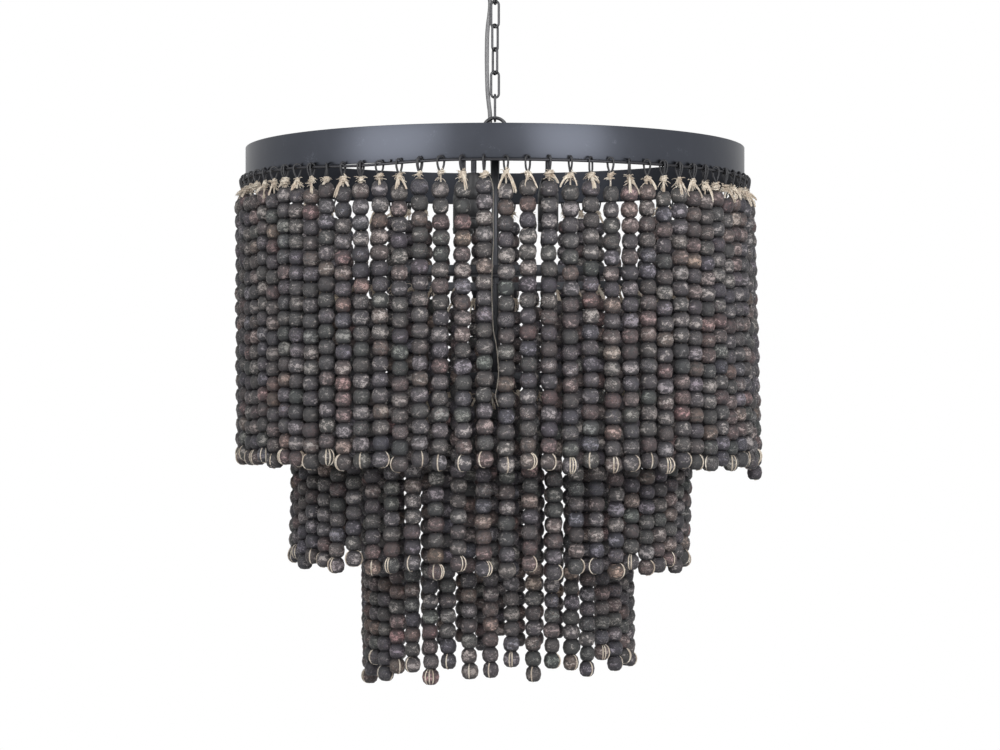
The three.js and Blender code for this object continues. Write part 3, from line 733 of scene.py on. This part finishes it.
def build_band(node, name):
    """Rolled flat band with eased edges, and a finish for each side; on the hoop the inner side takes a
    darker copy of the satin finish as painted shade.
    """
    outer, top, bottom = radius_of(node), high(node), low(node)
    wall, edge, steps = 2 * MM, 0.45 * MM, 240
    inner = outer - wall
    profile = [
        (outer - edge, bottom), (outer - 0.3 * edge, bottom + 0.3 * edge), (outer, bottom + edge),
        (outer, top - edge), (outer - 0.3 * edge, top - 0.3 * edge), (outer - edge, top),
        (inner + edge, top), (inner, top - edge), (inner, bottom + edge), (inner + edge, bottom),
        (outer - edge, bottom),
    ]
    bm = bmesh.new()
    spun(bm, profile, steps)
    for face in bm.faces:
        # Faces that look inwards take the second finish, which on the hoop is painted shade
        face.material_index = face.normal.xy.dot(face.calc_center_median().xy) < 0
    finishes = ["hoop_satin", "hoop_inside"] if node == "hoop" else ["frame_paint"] * 2
    piece(name, bm, finishes, "drum", [node], 30)


def wire_sag(tier, angle):
    """How far the upper wire droops below its place at an angle."""
    if tier["band"] != "hoop":
        return 0
    across = abs(angle % TURN - math.radians(SAG_TURN)) / math.radians(SAG_REACH)
    return SAG * (0.5 + 0.5 * math.cos(math.pi * across)) if across < 1 else 0


def build_wire(label, tier):
    """The hanging wire round a band, with the pegs that hold it off."""
    radius, height = wire_radius(tier), wire_height(tier)
    count = 3 * tier["strands"]
    angles = [TURN * i / count for i in range(count)]
    points = [way_of(a) * radius + Vector((0, 0, height - wire_sag(tier, a))) for a in angles]
    bm = bmesh.new()
    add_mesh(bm, thread_mesh([(points, [1.0] * count, True)], WIRE_D / 2, 2, 0))
    peg_radius, peg_rise, sunk, flare_share = 1.1 * MM, 0.9 * MM, 0.4 * MM, 1.3
    up = Vector((0, 0, height + peg_rise))
    pegs = []
    for group in range(tier["groups"]):
        out = way_of(tier_angle(tier, group * tier["strands"] // tier["groups"] + PEG_AFTER))
        ends = [out * (radius - sunk) + up, out * (radius - BAND_TO_WIRE - 0.1 * MM) + up]
        pegs.append((ends, [1.0, flare_share], False))
    add_mesh(bm, thread_mesh(pegs, peg_radius, 2, 0))
    piece(f"{label}_hanging_wire", bm, ["wire_black"], "drum", crease=60)


# Stem, spiders, hub and wiring cover

def threaded_end(radius, bottom, edge, pitch, length):
    """Profile of a rod's lower end, up to the top of its thread."""
    profile = [(0, bottom), (radius - edge, bottom)]
    up = bottom + edge
    while up < bottom + length:
        profile += [(radius, up), (radius - 0.5 * edge, up + pitch / 2)]
        up += pitch
    return profile + [(radius, up)]


def build_stem():
    """Round rod with a thread at its foot, and the turned finial nut under it."""
    radius, top, edge = radius_of("stem"), high("stem"), 0.6 * MM
    profile = threaded_end(radius, low("stem"), edge, 1.25 * MM, 16 * MM)
    profile += [(radius, top - edge), (radius - edge, top), (0, top)]
    turned_piece("stem_rod", profile, 32, "frame_paint", "drum", "stem", 50)

    r, start, end = radius_of("stem_finial"), low("stem_finial"), high("stem_finial")
    bore, floor = radius + 0.2 * MM, end - 8.2 * MM
    profile = curved(
        14, (0, start), (1.15 * r, start), (1.2 * r, start + 1.3 * r), (0.72 * r, start + 1.55 * r))
    profile += [
        (0.8 * r, end - 3 * MM), (0.95 * r, end - 2.2 * MM), (r, end - 1.6 * MM), (r, end - 0.5 * MM),
        (r - 0.5 * MM, end), (bore, end), (bore, floor), (0, floor),
    ]
    turned_piece("stem_finial_turned", profile, 48, "frame_paint", "drum", "stem_finial")


def build_wiring_cover():
    """Pressed dish on the top plate, with the cable's hole."""
    outer, top, bottom = radius_of("wiring_cover"), high("wiring_cover"), low("wiring_cover")
    wall, bore, edge, brim = COVER_SHEET, 7.3 * MM, 0.3 * MM, 0.2 * MM
    shoulder = outer - 6.5 * MM
    outside = curved(
        10, (outer, bottom + wall), (outer - 2 * MM, bottom + 3.5 * MM),
        (shoulder + 2.5 * MM, top), (shoulder - MM, top),
    )
    profile = [(outer - brim, bottom), (outer, bottom + brim), *outside]
    profile += [(bore + edge, top), (bore, top - edge), (bore, top - wall)]
    profile += [(out - 0.6 * wall, up - wall) for out, up in reversed(outside[1:])]
    profile += [(outer - 2 * wall, bottom), (outer - brim, bottom)]
    made = turned_piece("wiring_cover_dish", profile, 96, "frame_paint", "drum", "wiring_cover")
    drill(made, "cover_bush", top - 3 * MM, top + 3 * MM)


# Lamps

def build_lamp_tube(node, at):
    """A threaded tube with a head."""
    top = high(node)
    r, head, head_height, edge = 3.2 * MM, 5 * MM, 2 * MM, 0.4 * MM
    profile = threaded_end(r, low(node), edge, MM, 10 * MM)
    profile += [
        (r, top - head_height), (head, top - head_height), (head, top - edge), (head - edge, top), (0, top),
    ]
    turned_piece(f"{node}_threaded", profile, 24, "frame_paint", "drum", node, 50, at)


def build_lamp_holder(node, at):
    """A moulded holder with ribs and a cap, and its brass shell and contact."""
    top, bottom = high(node), low(node)
    outer, bore, cap, entry = 12 * MM, 10 * MM, 7.5 * MM, 3.5 * MM
    floor, skirt, lip, rib = bottom + 40 * MM, top - 16 * MM, 0.5 * MM, 0.5 * MM
    profile = [
        (bore, bottom + lip), (bore + lip, bottom), (outer - 0.8 * MM, bottom),
        (outer, bottom + 0.8 * MM),
    ]
    for up in (bottom + 9 * MM, bottom + 11.5 * MM, bottom + 31 * MM):
        profile += [(outer, up), (outer - rib, up + rib), (outer, up + 2 * rib)]
    profile += [
        (outer, skirt - 2 * MM), (outer - 0.6 * MM, skirt - 1.4 * MM), (outer - 0.6 * MM, skirt),
        (outer - 1.1 * MM, skirt + 2 * MM), (outer - 1.9 * MM, skirt + 7 * MM),
        (cap + 1.5 * MM, skirt + 12 * MM), (cap + 0.5 * MM, top - 1.6 * MM),
        (cap, top - 0.6 * MM), (cap - 0.6 * MM, top), (entry, top), (entry, floor),
        (bore, floor), (bore, bottom + lip),
    ]
    turned_piece(f"{node}_moulded", profile, 40, "holder_moulded", "drum", node, 50, at)

    crest, root, pitch, sheet = bore - 0.7 * MM, bore - 1.5 * MM, 3.6 * MM, 0.18 * MM
    shell = []
    up = bottom + 8 * MM
    while up < floor - 3 * MM:
        shell += [(crest, up), (root, up + pitch / 2)]
        up += pitch
    shell += [(crest, up)]
    back = [(out + sheet, z) for out, z in reversed(shell)]
    bm = bmesh.new()
    spun(bm, shell + back + shell[:1], 40, at)
    contact = bmesh.ops.create_cone(
        bm, cap_ends=True, segments=20, radius1=3.2 * MM, radius2=2.6 * MM, depth=2.2 * MM,
        matrix=Matrix.Translation((*at, floor - 1.3 * MM)),
    )
    bmesh.ops.recalc_face_normals(bm, faces=list({f for v in contact["verts"] for f in v.link_faces}))
    piece(f"{node}_contacts", bm, ["contact_brass"], "drum", crease=50)


# Strands

# Finishes of a strand, with the number that each has on its mesh
STRAND_FINISHES = ("bead_wash", "twine_jute", "cord_waxed", "twine_grimy")
TWINE, CORD, STRAY = 1, 2, 3


def bead_template(sizes):
    """One turned bead of unit wear: a barrel with a countersunk hole at each end."""
    r, half = sizes.bead_diameter / 2, sizes.bead_pitch / 2
    profile_shares = [
        (0.0, -0.9), (0.2, -0.92), (0.6, -0.99), (0.89, -0.66), (1.02, -0.03), (0.9, 0.62),
        (0.6, 0.99), (0.2, 0.92), (0.0, 0.9),
    ]
    bm = bmesh.new()
    spun(bm, [(out * r, up * half) for out, up in profile_shares], sizes.bead_sides)
    mesh = mesh_of(bm, "bead")
    mesh.attributes.new("bead_seed", "FLOAT", "POINT")
    # Belt share: 1 at the bead's middle, 0 at its holes; the material uses it for painted shade towards the
    # holes and a painted highlight round the middle
    belt_shares = [1 - (v.co.z / half) ** 2 for v in mesh.vertices]
    mesh.attributes.new("bead_belt", "FLOAT", "POINT").data.foreach_set("value", belt_shares)
    return mesh


def add_bead(bm, template, matrix, seed):
    mesh = template.copy()
    mesh.transform(matrix)
    mesh.attributes["bead_seed"].data.foreach_set("value", [seed] * len(mesh.vertices))
    add_mesh(bm, mesh)


def strand_angle(tier, index):
    return tier_angle(tier, index + 0.5)


def strand_place(tier, index):
    """The strand's own axes: X outwards, Y along the wire, Z up, from the wire's middle."""
    angle = strand_angle(tier, index)
    place = Vector((wire_radius(tier), 0, wire_height(tier) - wire_sag(tier, angle)))
    return Matrix.Rotation(angle, 4, "Z") @ Matrix.Translation(place)


def first_bead_drop(tier, index, sizes):
    """How far below the wire a strand's first bead starts."""
    uneven = tier["uneven"] * math.sin(UNEVEN_STEP * index + tier["strands"])
    drop = WIRE_RISE + sizes.first_bead_drop + uneven
    return drop - wire_sag(tier, strand_angle(tier, index)) + extra_drop(tier, index)


def extra_drop(tier, index):
    """How much lower a strand hangs than its even place, most at the left and right."""
    side = math.cos(strand_angle(tier, index))
    return abs(side) * (tier["right_drop"] if side > 0 else tier["left_drop"])


def lean_of(tier, index):
    """How far a strand's foot hangs out of plumb, along the strand's own axes."""
    angle = strand_angle(tier, index)
    side = math.cos(angle)
    lean = (tier["right_lean"] if side > 0 else tier["left_lean"]) * side * side
    return Vector((lean * math.cos(angle), -lean * math.sin(angle), 0))


def hitch(chance, drop, thickness, open_share):
    """A stiff loop of cord through which the wire passes, down to the knot."""
    near = WIRE_D / 2 + thickness / 2
    side = chance.choice((-1, 1))
    apart = 3.1 * MM * open_share
    top = chance.uniform(3.6, 4.8) * MM
    down_shares = [(0.0, 0.4, -1), (0.35, 0.75, -0.72), (0.85, 0.95, -0.4), (1.04, 1.0, -0.12)]
    up_shares = [(1.04, 1.0, 0.2), (0.8, 0.82, 0.62), (0.4, 0.45, 0.92)]
    ends = [
        Vector((x * near, side * y * apart, z * tall))
        for shares, tall in ((down_shares, drop), (up_shares, top)) for x, y, z in shares
    ]
    back = [Vector((-p.x, -p.y, p.z)) for p in reversed(ends)]
    points = ends + [Vector((0, 0, top))] + back
    return points, [1.0] * len(points), False


def knot(chance, top):
    """A wrapped knot of twine: short coils that lie over one another."""
    runs = []
    height = chance.uniform(6.5, 10) * MM
    bulk = chance.choice((0.85, 1.0, 1.0, 1.25, 1.5))
    steps, ply_share = 15, 0.92
    for _ in range(chance.choice((2, 3, 3))):
        turns = chance.uniform(1.5, 2.6)
        start = chance.uniform(0, TURN)
        size = chance.uniform(2.1, 3.2) * MM * bulk
        tilt = chance.uniform(0.6, 2.2) * MM
        middle = top - chance.uniform(0.2, 0.75) * height
        points = []
        for i in range(steps):
            share = i / (steps - 1)
            angle = start + TURN * turns * share
            out = size * (0.65 + 0.45 * math.sin(math.pi * share)) + chance.uniform(-0.35, 0.35) * MM
            up = middle + (0.5 - share) * 0.55 * height + tilt * math.sin(angle)
            points.append(way_of(angle) * out + Vector((0, 0, up)))
        runs.append((points, [ply_share] * steps, False))
    return runs


def tails(chance, top, bead_top, sizes):
    """Frayed ends out of a knot: flat bundles that lie on the first bead, and loose hairs."""
    runs = []
    shoulder = sizes.bead_diameter / 2 + 0.9 * MM
    bundle_shares, hair_shares = [0.85, 0.82, 0.76, 0.7, 0.5], [0.42, 0.4, 0.24]
    for _ in range(chance.choice((0, 1, 1, 2, 2, 3))):
        heading = chance.gauss(0.3, 0.95)
        reach = shoulder * chance.uniform(0.7, 1.25)
        fall = chance.uniform(0, 11) * MM
        for _ in range(chance.choice((3, 4, 5))):
            way = way_of(heading + chance.uniform(-0.17, 0.17))
            out = reach * chance.uniform(0.9, 1.08)
            low_end = min(bead_top - fall * chance.uniform(0.8, 1.15), top - 3 * MM)
            start = top - chance.uniform(1, 6) * MM
            points = [Vector((0, 0, start)), way * 2.2 * MM + Vector((0, 0, start - 0.6 * MM))]
            for out_share, fall_share in ((0.62, 0.4), (0.88, 0.75), (1, 1)):
                up = (1 - fall_share) * start + fall_share * low_end
                points.append(way * (out_share * out) + Vector((0, 0, up)))
            runs.append((points, bundle_shares, False))
    for _ in range(chance.choice((11, 14, 17, 20))):
        angle = chance.uniform(0, TURN)
        way = way_of(angle, chance.uniform(-0.9, 0.6))
        start = Vector((0, 0, top - chance.uniform(0, 8) * MM)) + way * 1.6 * MM
        reach = chance.uniform(2.5, 6.5) * MM
        bend = Vector((chance.uniform(-1, 1), chance.uniform(-1, 1), -1)) * 0.25 * reach
        runs.append(([start, start + way * 0.55 * reach, start + way * reach + bend], hair_shares, False))
    return runs


def end_loops(chance, centre, sizes):
    """The twine that comes back up round the last bead, once or more."""
    runs = []
    heading = chance.gauss(0, 0.75)
    steps, ply_share = 9, 0.74
    wide, tall = sizes.bead_diameter / 2 + 0.55 * MM, sizes.bead_pitch / 2 + 0.3 * MM
    for number in range(chance.choice((1, 1, 2, 2, 3))):
        way = way_of(heading + number * chance.choice((0.34, 0.5, 2.6)))
        points = []
        for i in range(steps):
            angle = math.pi * i / (steps - 1)
            up = Vector((0, 0, tall * math.cos(angle)))
            points.append(centre + way * (wide * math.sin(angle) ** 0.75) + up)
        runs.append((points, [ply_share] * steps, False))
    return runs


def strays(tier, index):
    """A long loose end of twine that hangs beside one strand at the front."""
    if (tier["band"], index) != STRAY_STRAND:
        return []
    points = smoothed([Vector(p) * MM for p in STRAY_ROUTE], 4)
    return [(points, [0.5] * len(points), False)]


def add_strand(bm, tier, index, sizes, template):
    """Every bead, thread and knot of one strand."""
    chance = random.Random(1000 * tier["strands"] + index)
    place = strand_place(tier, index)
    drop = first_bead_drop(tier, index, sizes)
    size_shares, second_loop_share, tilt_spread = (0.985, 0.03), 0.45, 0.05
    lean = Vector((chance.uniform(-0.6, 0.6), chance.uniform(-1.6, 1.6), 0)) * MM
    lean += lean_of(tier, index)
    spine = []
    beads = sizes.beads + (index in tier["longer"])
    for number in range(beads):
        share = (number + 0.5) / beads
        up = -drop - (number + 0.5) * sizes.bead_pitch
        off = lean * share + Vector((chance.gauss(0, 0.22), chance.gauss(0, 0.3), 0)) * MM
        wide = chance.gauss(*size_shares)
        size = Matrix.Diagonal((wide, wide * chance.uniform(0.97, 1.02), 1, 1))
        tilt = Matrix.Rotation(chance.gauss(0, tilt_spread), 4, "X")
        tilt = tilt @ Matrix.Rotation(chance.gauss(0, tilt_spread), 4, "Y")
        spin = Matrix.Rotation(chance.uniform(0, TURN), 4, "Z")
        centre = off + Vector((0, 0, up))
        add_bead(bm, template, place @ Matrix.Translation(centre) @ tilt @ spin @ size, chance.random())
        spine.append(centre)
    loop_bottom = sizes.loop_height + 0.5 * extra_drop(tier, index)
    black = [hitch(chance, loop_bottom, sizes.cord_diameter, chance.choice((0.3, 0.7, 0.9, 1.0)))]
    if chance.random() < second_loop_share:
        black.append(hitch(chance, loop_bottom, sizes.cord_diameter, chance.uniform(0.2, 0.5)))
    neck = [Vector((0, 0, -loop_bottom + MM)), Vector((0, 0, -drop))] + spine
    twine = [(neck, [0.8] * len(neck), False)]
    twine += knot(chance, -loop_bottom + 1.2 * MM)
    twine += tails(chance, -loop_bottom, -drop, sizes) + end_loops(chance, spine[-1], sizes)
    for runs, thickness, resolution, finish_number in (
        (black, sizes.cord_diameter, 1, CORD),
        (twine, sizes.twine_diameter, 0, TWINE),
        # The loose end takes the darker twine, painted shade
        (strays(tier, index), sizes.twine_diameter, 0, STRAY),
    ):
        placed = [([place @ p for p in points], shares, closed) for points, shares, closed in runs]
        add_mesh(bm, thread_mesh(placed, thickness / 2, resolution, finish_number))


def build_strands(label):
    """All strands of one tier: its groups ride on the drum, and some strands swing."""
    tier = TIERS[label]
    sizes = bpy.context.scene.chandelier_strands
    template = bead_template(sizes)
    per_group = tier["strands"] // tier["groups"]
    bunches = []
    for number in range(tier["groups"]):
        indices = [i for i in range(number * per_group, (number + 1) * per_group) if i not in tier["swing"]]
        bunches.append((f"beads_{number + 1}", indices, "drum", f"strands_{number + 1}"))
    for number, index in enumerate(tier["swing"], 1):
        body = f"{label}_hanging_strand_{number}"
        bunches.append((f"swing_beads_{number}", [index], body, f"swing_strand_{number}"))
    for name, indices, body, node in bunches:
        bm = bmesh.new()
        for index in indices:
            add_strand(bm, tier, index, sizes, template)
        piece(f"{label}_{name}", bm, STRAND_FINISHES, body, [f"{label}_{node}"], 70)
    bpy.data.meshes.remove(template)


# Stage

def floor_material():
    """Pale floor that keeps a shadow, fades to white at its rim, and is clear from below."""
    material, tree, shader, place = new_material("floor_pale", 0.9)
    path = put(tree, "ShaderNodeLightPath").outputs
    seen = sum_of(tree, "MAXIMUM", path["Is Camera Ray"], path["Is Glossy Ray"])
    level = put(tree, "ShaderNodeVectorMath", {0: place, 1: (1, 1, 0)}, operation="MULTIPLY").outputs[0]
    away = put(tree, "ShaderNodeVectorMath", {0: level}, operation="LENGTH").outputs["Value"]
    rim = (0.4 * FLOOR_RADIUS, 0.9 * FLOOR_RADIUS)
    fade = ranged(tree, away, rim, (0.4, 1.0), "SMOOTHSTEP")
    feed(tree, shader, {
        "Base Color": mixed(tree, noise(tree, place, 14.0, 4.0), (0.8, 0.8, 0.8), (0.85, 0.85, 0.85)),
        "Emission Color": (1, 1, 1, 1),
        "Emission Strength": sum_of(tree, "MULTIPLY", seen, fade),
    })
    below = put(tree, "ShaderNodeNewGeometry").outputs["Backfacing"]
    clear = put(tree, "ShaderNodeBsdfTransparent")
    both = put(tree, "ShaderNodeMixShader", {0: below, 1: shader.outputs[0], 2: clear.outputs[0]})
    surface = next(n for n in tree.nodes if n.type == "OUTPUT_MATERIAL")
    feed(tree, surface, {"Surface": both.outputs[0]})
    return material


def build_floor(drop):
    bm = bmesh.new()
    bmesh.ops.create_circle(
        bm, cap_ends=True, radius=FLOOR_RADIUS, segments=96,
        matrix=Matrix.Translation((0, 0, low("lower_strands_1") - drop)),
    )
    floor = linked("floor", mesh_of(bm, "floor"))
    floor.data.materials.append(floor_material())


def build_world(ambient):
    """White surroundings for what is seen, and a plain level for what is lit."""
    world = bpy.data.worlds.new("studio")
    bpy.context.scene.world = world
    world.use_nodes = True
    tree = world.node_tree
    tree.nodes.clear()
    path = put(tree, "ShaderNodeLightPath").outputs
    seen = sum_of(tree, "MAXIMUM", path["Is Camera Ray"], path["Is Transmission Ray"])
    seen = sum_of(tree, "MAXIMUM", seen, path["Is Glossy Ray"])
    strength = ranged(tree, seen, UNIT, (ambient, 1.0))
    sky = put(tree, "ShaderNodeBackground", {"Color": (1, 1, 1, 1), "Strength": strength})
    put(tree, "ShaderNodeOutputWorld", {"Surface": sky.outputs[0]})


def build_lights(look):
    """Two soft boxes that reflections show, and two fills that they leave out."""
    for name, azimuth, height, wide, tall, radiance in (
        ("left_box", -43, 0.0, 1.6, 1.9, look.left_box),
        ("right_box", 31, 0.05, 1.25, 1.9, look.right_box),
        ("front_fill", 10, 0.2, 1.5, 1.3, look.front_fill),
        ("back_fill", 188, 0.2, 1.5, 1.3, BACK_FILL_SHARE * look.front_fill),
    ):
        lamp = bpy.data.lights.new(name, "AREA")
        lamp.shape = "RECTANGLE"
        lamp.size, lamp.size_y = wide, tall
        lamp.energy = radiance * math.pi * wide * tall
        box = linked(name, lamp)
        angle = math.radians(azimuth)
        box.location = Vector((LIGHT_DISTANCE * math.sin(angle), -LIGHT_DISTANCE * math.cos(angle), height))
        box.rotation_euler = (Vector(LIGHT_AIM) - box.location).to_track_quat("-Z", "Y").to_euler()
        box.visible_glossy = not name.endswith("fill")
        box.visible_diffuse = name.endswith("fill")


def build_camera():
    """The photograph's view: level, with its frame shifted to the chandelier."""
    data = bpy.data.cameras.new("camera")
    camera = linked("camera", data)
    camera.location = (0, -CAMERA_DISTANCE_SHARE * wire_radius(TIERS["upper"]), EYE_LEVEL)
    camera.rotation_euler = (math.radians(90), 0, 0)
    data.sensor_width = SENSOR
    data.lens = SENSOR * FOCAL_PIXELS / IMAGE_WIDTH
    data.shift_x = (IMAGE_CENTRE[0] - AXIS_PIXEL) / IMAGE_WIDTH
    data.shift_y = (HORIZON_PIXEL - IMAGE_CENTRE[1]) / IMAGE_WIDTH
    bpy.context.scene.camera = camera


# Add-on

def distance(name, description, value):
    return bpy.props.FloatProperty(name=name, description=description, default=value, unit="LENGTH")


def brightness(name, description, value):
    return bpy.props.FloatProperty(name=name, description=description, default=value, min=0)


class StrandSettings(bpy.types.PropertyGroup):
    """Sizes of the beads and threads"""

    beads: bpy.props.IntProperty(name="Beads", description="Beads on each strand", default=18, min=1)
    bead_diameter: distance("Bead diameter", "Across a bead's middle", 18.2 * MM)
    bead_pitch: distance("Bead pitch", "From one bead to the next", 16.5 * MM)
    bead_sides: bpy.props.IntProperty(name="Bead sides", description="Facets round a bead", default=12, min=6)
    first_bead_drop: distance("First bead drop", "From a band's lower edge to the first bead", 21.5 * MM)
    loop_height: distance("Loop height", "From the wire's middle to the foot of the cord loop", 11 * MM)
    cord_diameter: distance("Cord diameter", "Black cord of the loops", 2.3 * MM)
    twine_diameter: distance("Twine diameter", "Twine of the knots", 2 * MM)


def colour(name, description, value):
    return bpy.props.FloatVectorProperty(
        name=name, description=description, default=value, subtype="COLOR", size=3, min=0, max=1)


class ColourSettings(bpy.types.PropertyGroup):
    """Colours of the finishes"""

    # The wash colour, which also stands towards each bead's holes as painted shade
    bead_dark: colour("Bead dark", "Charcoal wash where it is thick", (0.03, 0.031, 0.034))
    fleck: colour("Fleck", "Rubbed flecks where the wood is bare", (0.56, 0.51, 0.48))
    # Twine's dark colour is partly its own tone and partly painted shade between fibres; its light colour is
    # partly a painted highlight on raised fibres
    twine_dark: colour("Twine dark", "Twine in its hollows", (0.5, 0.4, 0.31))
    twine_light: colour("Twine light", "Twine on its fibres", (0.96, 0.89, 0.77))
    cord: colour("Cord", "Black waxed cord", (0.012, 0.012, 0.014))
    hoop: colour("Hoop", "Satin hoop", (0.06, 0.0645, 0.0775))
    wire: colour("Wire", "Hanging wires and pegs", (0.05, 0.05, 0.055))
    steel: colour("Frame", "Frame inside the curtains", (0.08, 0.082, 0.09))
    chain: colour("Chain", "Chain and loops", (0.085, 0.085, 0.09))
    cable: colour("Cable", "Sheath of the supply cable", (0.2, 0.2, 0.205))
    holder: colour("Lamp holder", "Moulded lamp holders", (0.02, 0.02, 0.022))
    brass: colour("Brass", "Shells and contacts in the lamp holders", (0.6, 0.42, 0.2))


class StageSettings(bpy.types.PropertyGroup):
    """Light and floor"""

    ambient: brightness("Ambient", "Level of the light from all round", 0.22)
    left_box: brightness("Left box", "Brightness of the left soft box", 3.4)
    right_box: brightness("Right box", "Brightness of the right soft box", 3.7)
    front_fill: brightness("Front fill", "Brightness of the fill that reflections leave out", 7.2)
    floor_drop: distance("Floor drop", "From the lowest bead to the floor", 1.4)


class CHANDELIER_OT_stage(bpy.types.Operator):
    """Make the floor, the lights and the camera"""

    bl_idname = "chandelier.stage"
    bl_label = "Stage"

    def execute(self, context):
        look = context.scene.chandelier_stage
        context.scene.view_settings.view_transform = "Standard"
        build_floor(look.floor_drop)
        build_world(look.ambient)
        build_lights(look)
        build_camera()
        return {"FINISHED"}


class CHANDELIER_OT_cable(bpy.types.Operator):
    """Run the supply cable beside the chain"""

    bl_idname = "chandelier.cable"
    bl_label = "Supply cable"

    def execute(self, context):
        build_cable()
        return {"FINISHED"}


class CHANDELIER_OT_ceiling_fitting(bpy.types.Operator):
    """Make the canopy, its bush, its nut and its loop"""

    bl_idname = "chandelier.ceiling_fitting"
    bl_label = "Ceiling fitting"

    def execute(self, context):
        build_canopy()
        build_bush("canopy_bush", "ceiling_fitting", low("canopy"), CANOPY_SHEET)
        build_collar_nut()
        build_loop("canopy_loop", "ceiling_fitting", True)
        for node in ("ceiling_bracket", "nipple"):
            paint_node(node)
        return {"FINISHED"}


class CHANDELIER_OT_chain(bpy.types.Operator):
    """Make the chain's links"""

    bl_idname = "chandelier.chain"
    bl_label = "Chain"

    def execute(self, context):
        build_chain()
        return {"FINISHED"}


class CHANDELIER_OT_bands(bpy.types.Operator):
    """Make the hoop, the rings and their hanging wires"""

    bl_idname = "chandelier.bands"
    bl_label = "Hoop and rings"

    def execute(self, context):
        build_band("hoop", "hoop_band")
        build_band("middle_ring", "middle_band")
        build_band("lower_ring", "lower_band")
        for label, tier in TIERS.items():
            build_wire(label, tier)
        return {"FINISHED"}


class CHANDELIER_OT_frame(bpy.types.Operator):
    """Make the stem, its finial, the hub loop and the wiring cover, and paint the spiders"""

    bl_idname = "chandelier.frame"
    bl_label = "Inner frame"

    def execute(self, context):
        build_stem()
        build_wiring_cover()
        build_bush("cover_bush", "drum", high("wiring_cover") - COVER_SHEET, COVER_SHEET)
        build_loop("hub_loop", "drum", False)
        for node in ("top_spider", "middle_spider", "lower_spider"):
            paint_node(node)
        return {"FINISHED"}


class CHANDELIER_OT_lamps(bpy.types.Operator):
    """Make the lamp tubes and lamp holders"""

    bl_idname = "chandelier.lamps"
    bl_label = "Lamps"

    def execute(self, context):
        for number in range(1, LAMPS + 1):
            middle = middle_of(f"lamp_tube_{number}")
            build_lamp_tube(f"lamp_tube_{number}", (middle.x, middle.y))
            build_lamp_holder(f"lamp_holder_{number}", (middle.x, middle.y))
        return {"FINISHED"}


class CHANDELIER_OT_strands(bpy.types.Operator):
    """Thread the bead strands of every tier"""

    bl_idname = "chandelier.strands"
    bl_label = "Bead strands"

    def execute(self, context):
        for label in TIERS:
            build_strands(label)
        return {"FINISHED"}


class CHANDELIER_PT_panel(bpy.types.Panel):
    """Chandelier pieces"""

    bl_label = "Chandelier"
    bl_idname = "CHANDELIER_PT_panel"
    bl_space_type = "VIEW_3D"
    bl_region_type = "UI"
    bl_category = "Chandelier"

    def draw(self, context):
        layout = self.layout
        for operator in OPERATORS:
            layout.operator(operator.bl_idname)
        for settings in (context.scene.chandelier_strands, context.scene.chandelier_colours,
                         context.scene.chandelier_stage):
            box = layout.box()
            for key in settings.bl_rna.properties.keys():
                if key not in {"rna_type", "name"}:
                    box.prop(settings, key)


OPERATORS = (
    CHANDELIER_OT_stage,
    CHANDELIER_OT_cable,
    CHANDELIER_OT_ceiling_fitting,
    CHANDELIER_OT_chain,
    CHANDELIER_OT_bands,
    CHANDELIER_OT_frame,
    CHANDELIER_OT_lamps,
    CHANDELIER_OT_strands,
)
CLASSES = (StrandSettings, ColourSettings, StageSettings, *OPERATORS, CHANDELIER_PT_panel)


def paint_node(node):
    """Gives a CAD node that stays as it is the frame's paint."""
    shown = frame["nodes"][node]
    shown.data.materials.clear()
    shown.data.materials.append(finish("frame_paint"))


def register():
    for cls in CLASSES:
        bpy.utils.register_class(cls)
    bpy.types.Scene.chandelier_strands = bpy.props.PointerProperty(type=StrandSettings)
    bpy.types.Scene.chandelier_colours = bpy.props.PointerProperty(type=ColourSettings)
    bpy.types.Scene.chandelier_stage = bpy.props.PointerProperty(type=StageSettings)


def unregister():
    del bpy.types.Scene.chandelier_stage
    del bpy.types.Scene.chandelier_colours
    del bpy.types.Scene.chandelier_strands
    for cls in reversed(CLASSES):
        bpy.utils.unregister_class(cls)


def main():
    register()
    bpy.ops.chandelier.stage()
    bpy.ops.chandelier.cable()
    bpy.ops.chandelier.ceiling_fitting()
    bpy.ops.chandelier.chain()
    bpy.ops.chandelier.bands()
    bpy.ops.chandelier.frame()
    bpy.ops.chandelier.lamps()
    bpy.ops.chandelier.strands()


if __name__ == "__main__":
    main()
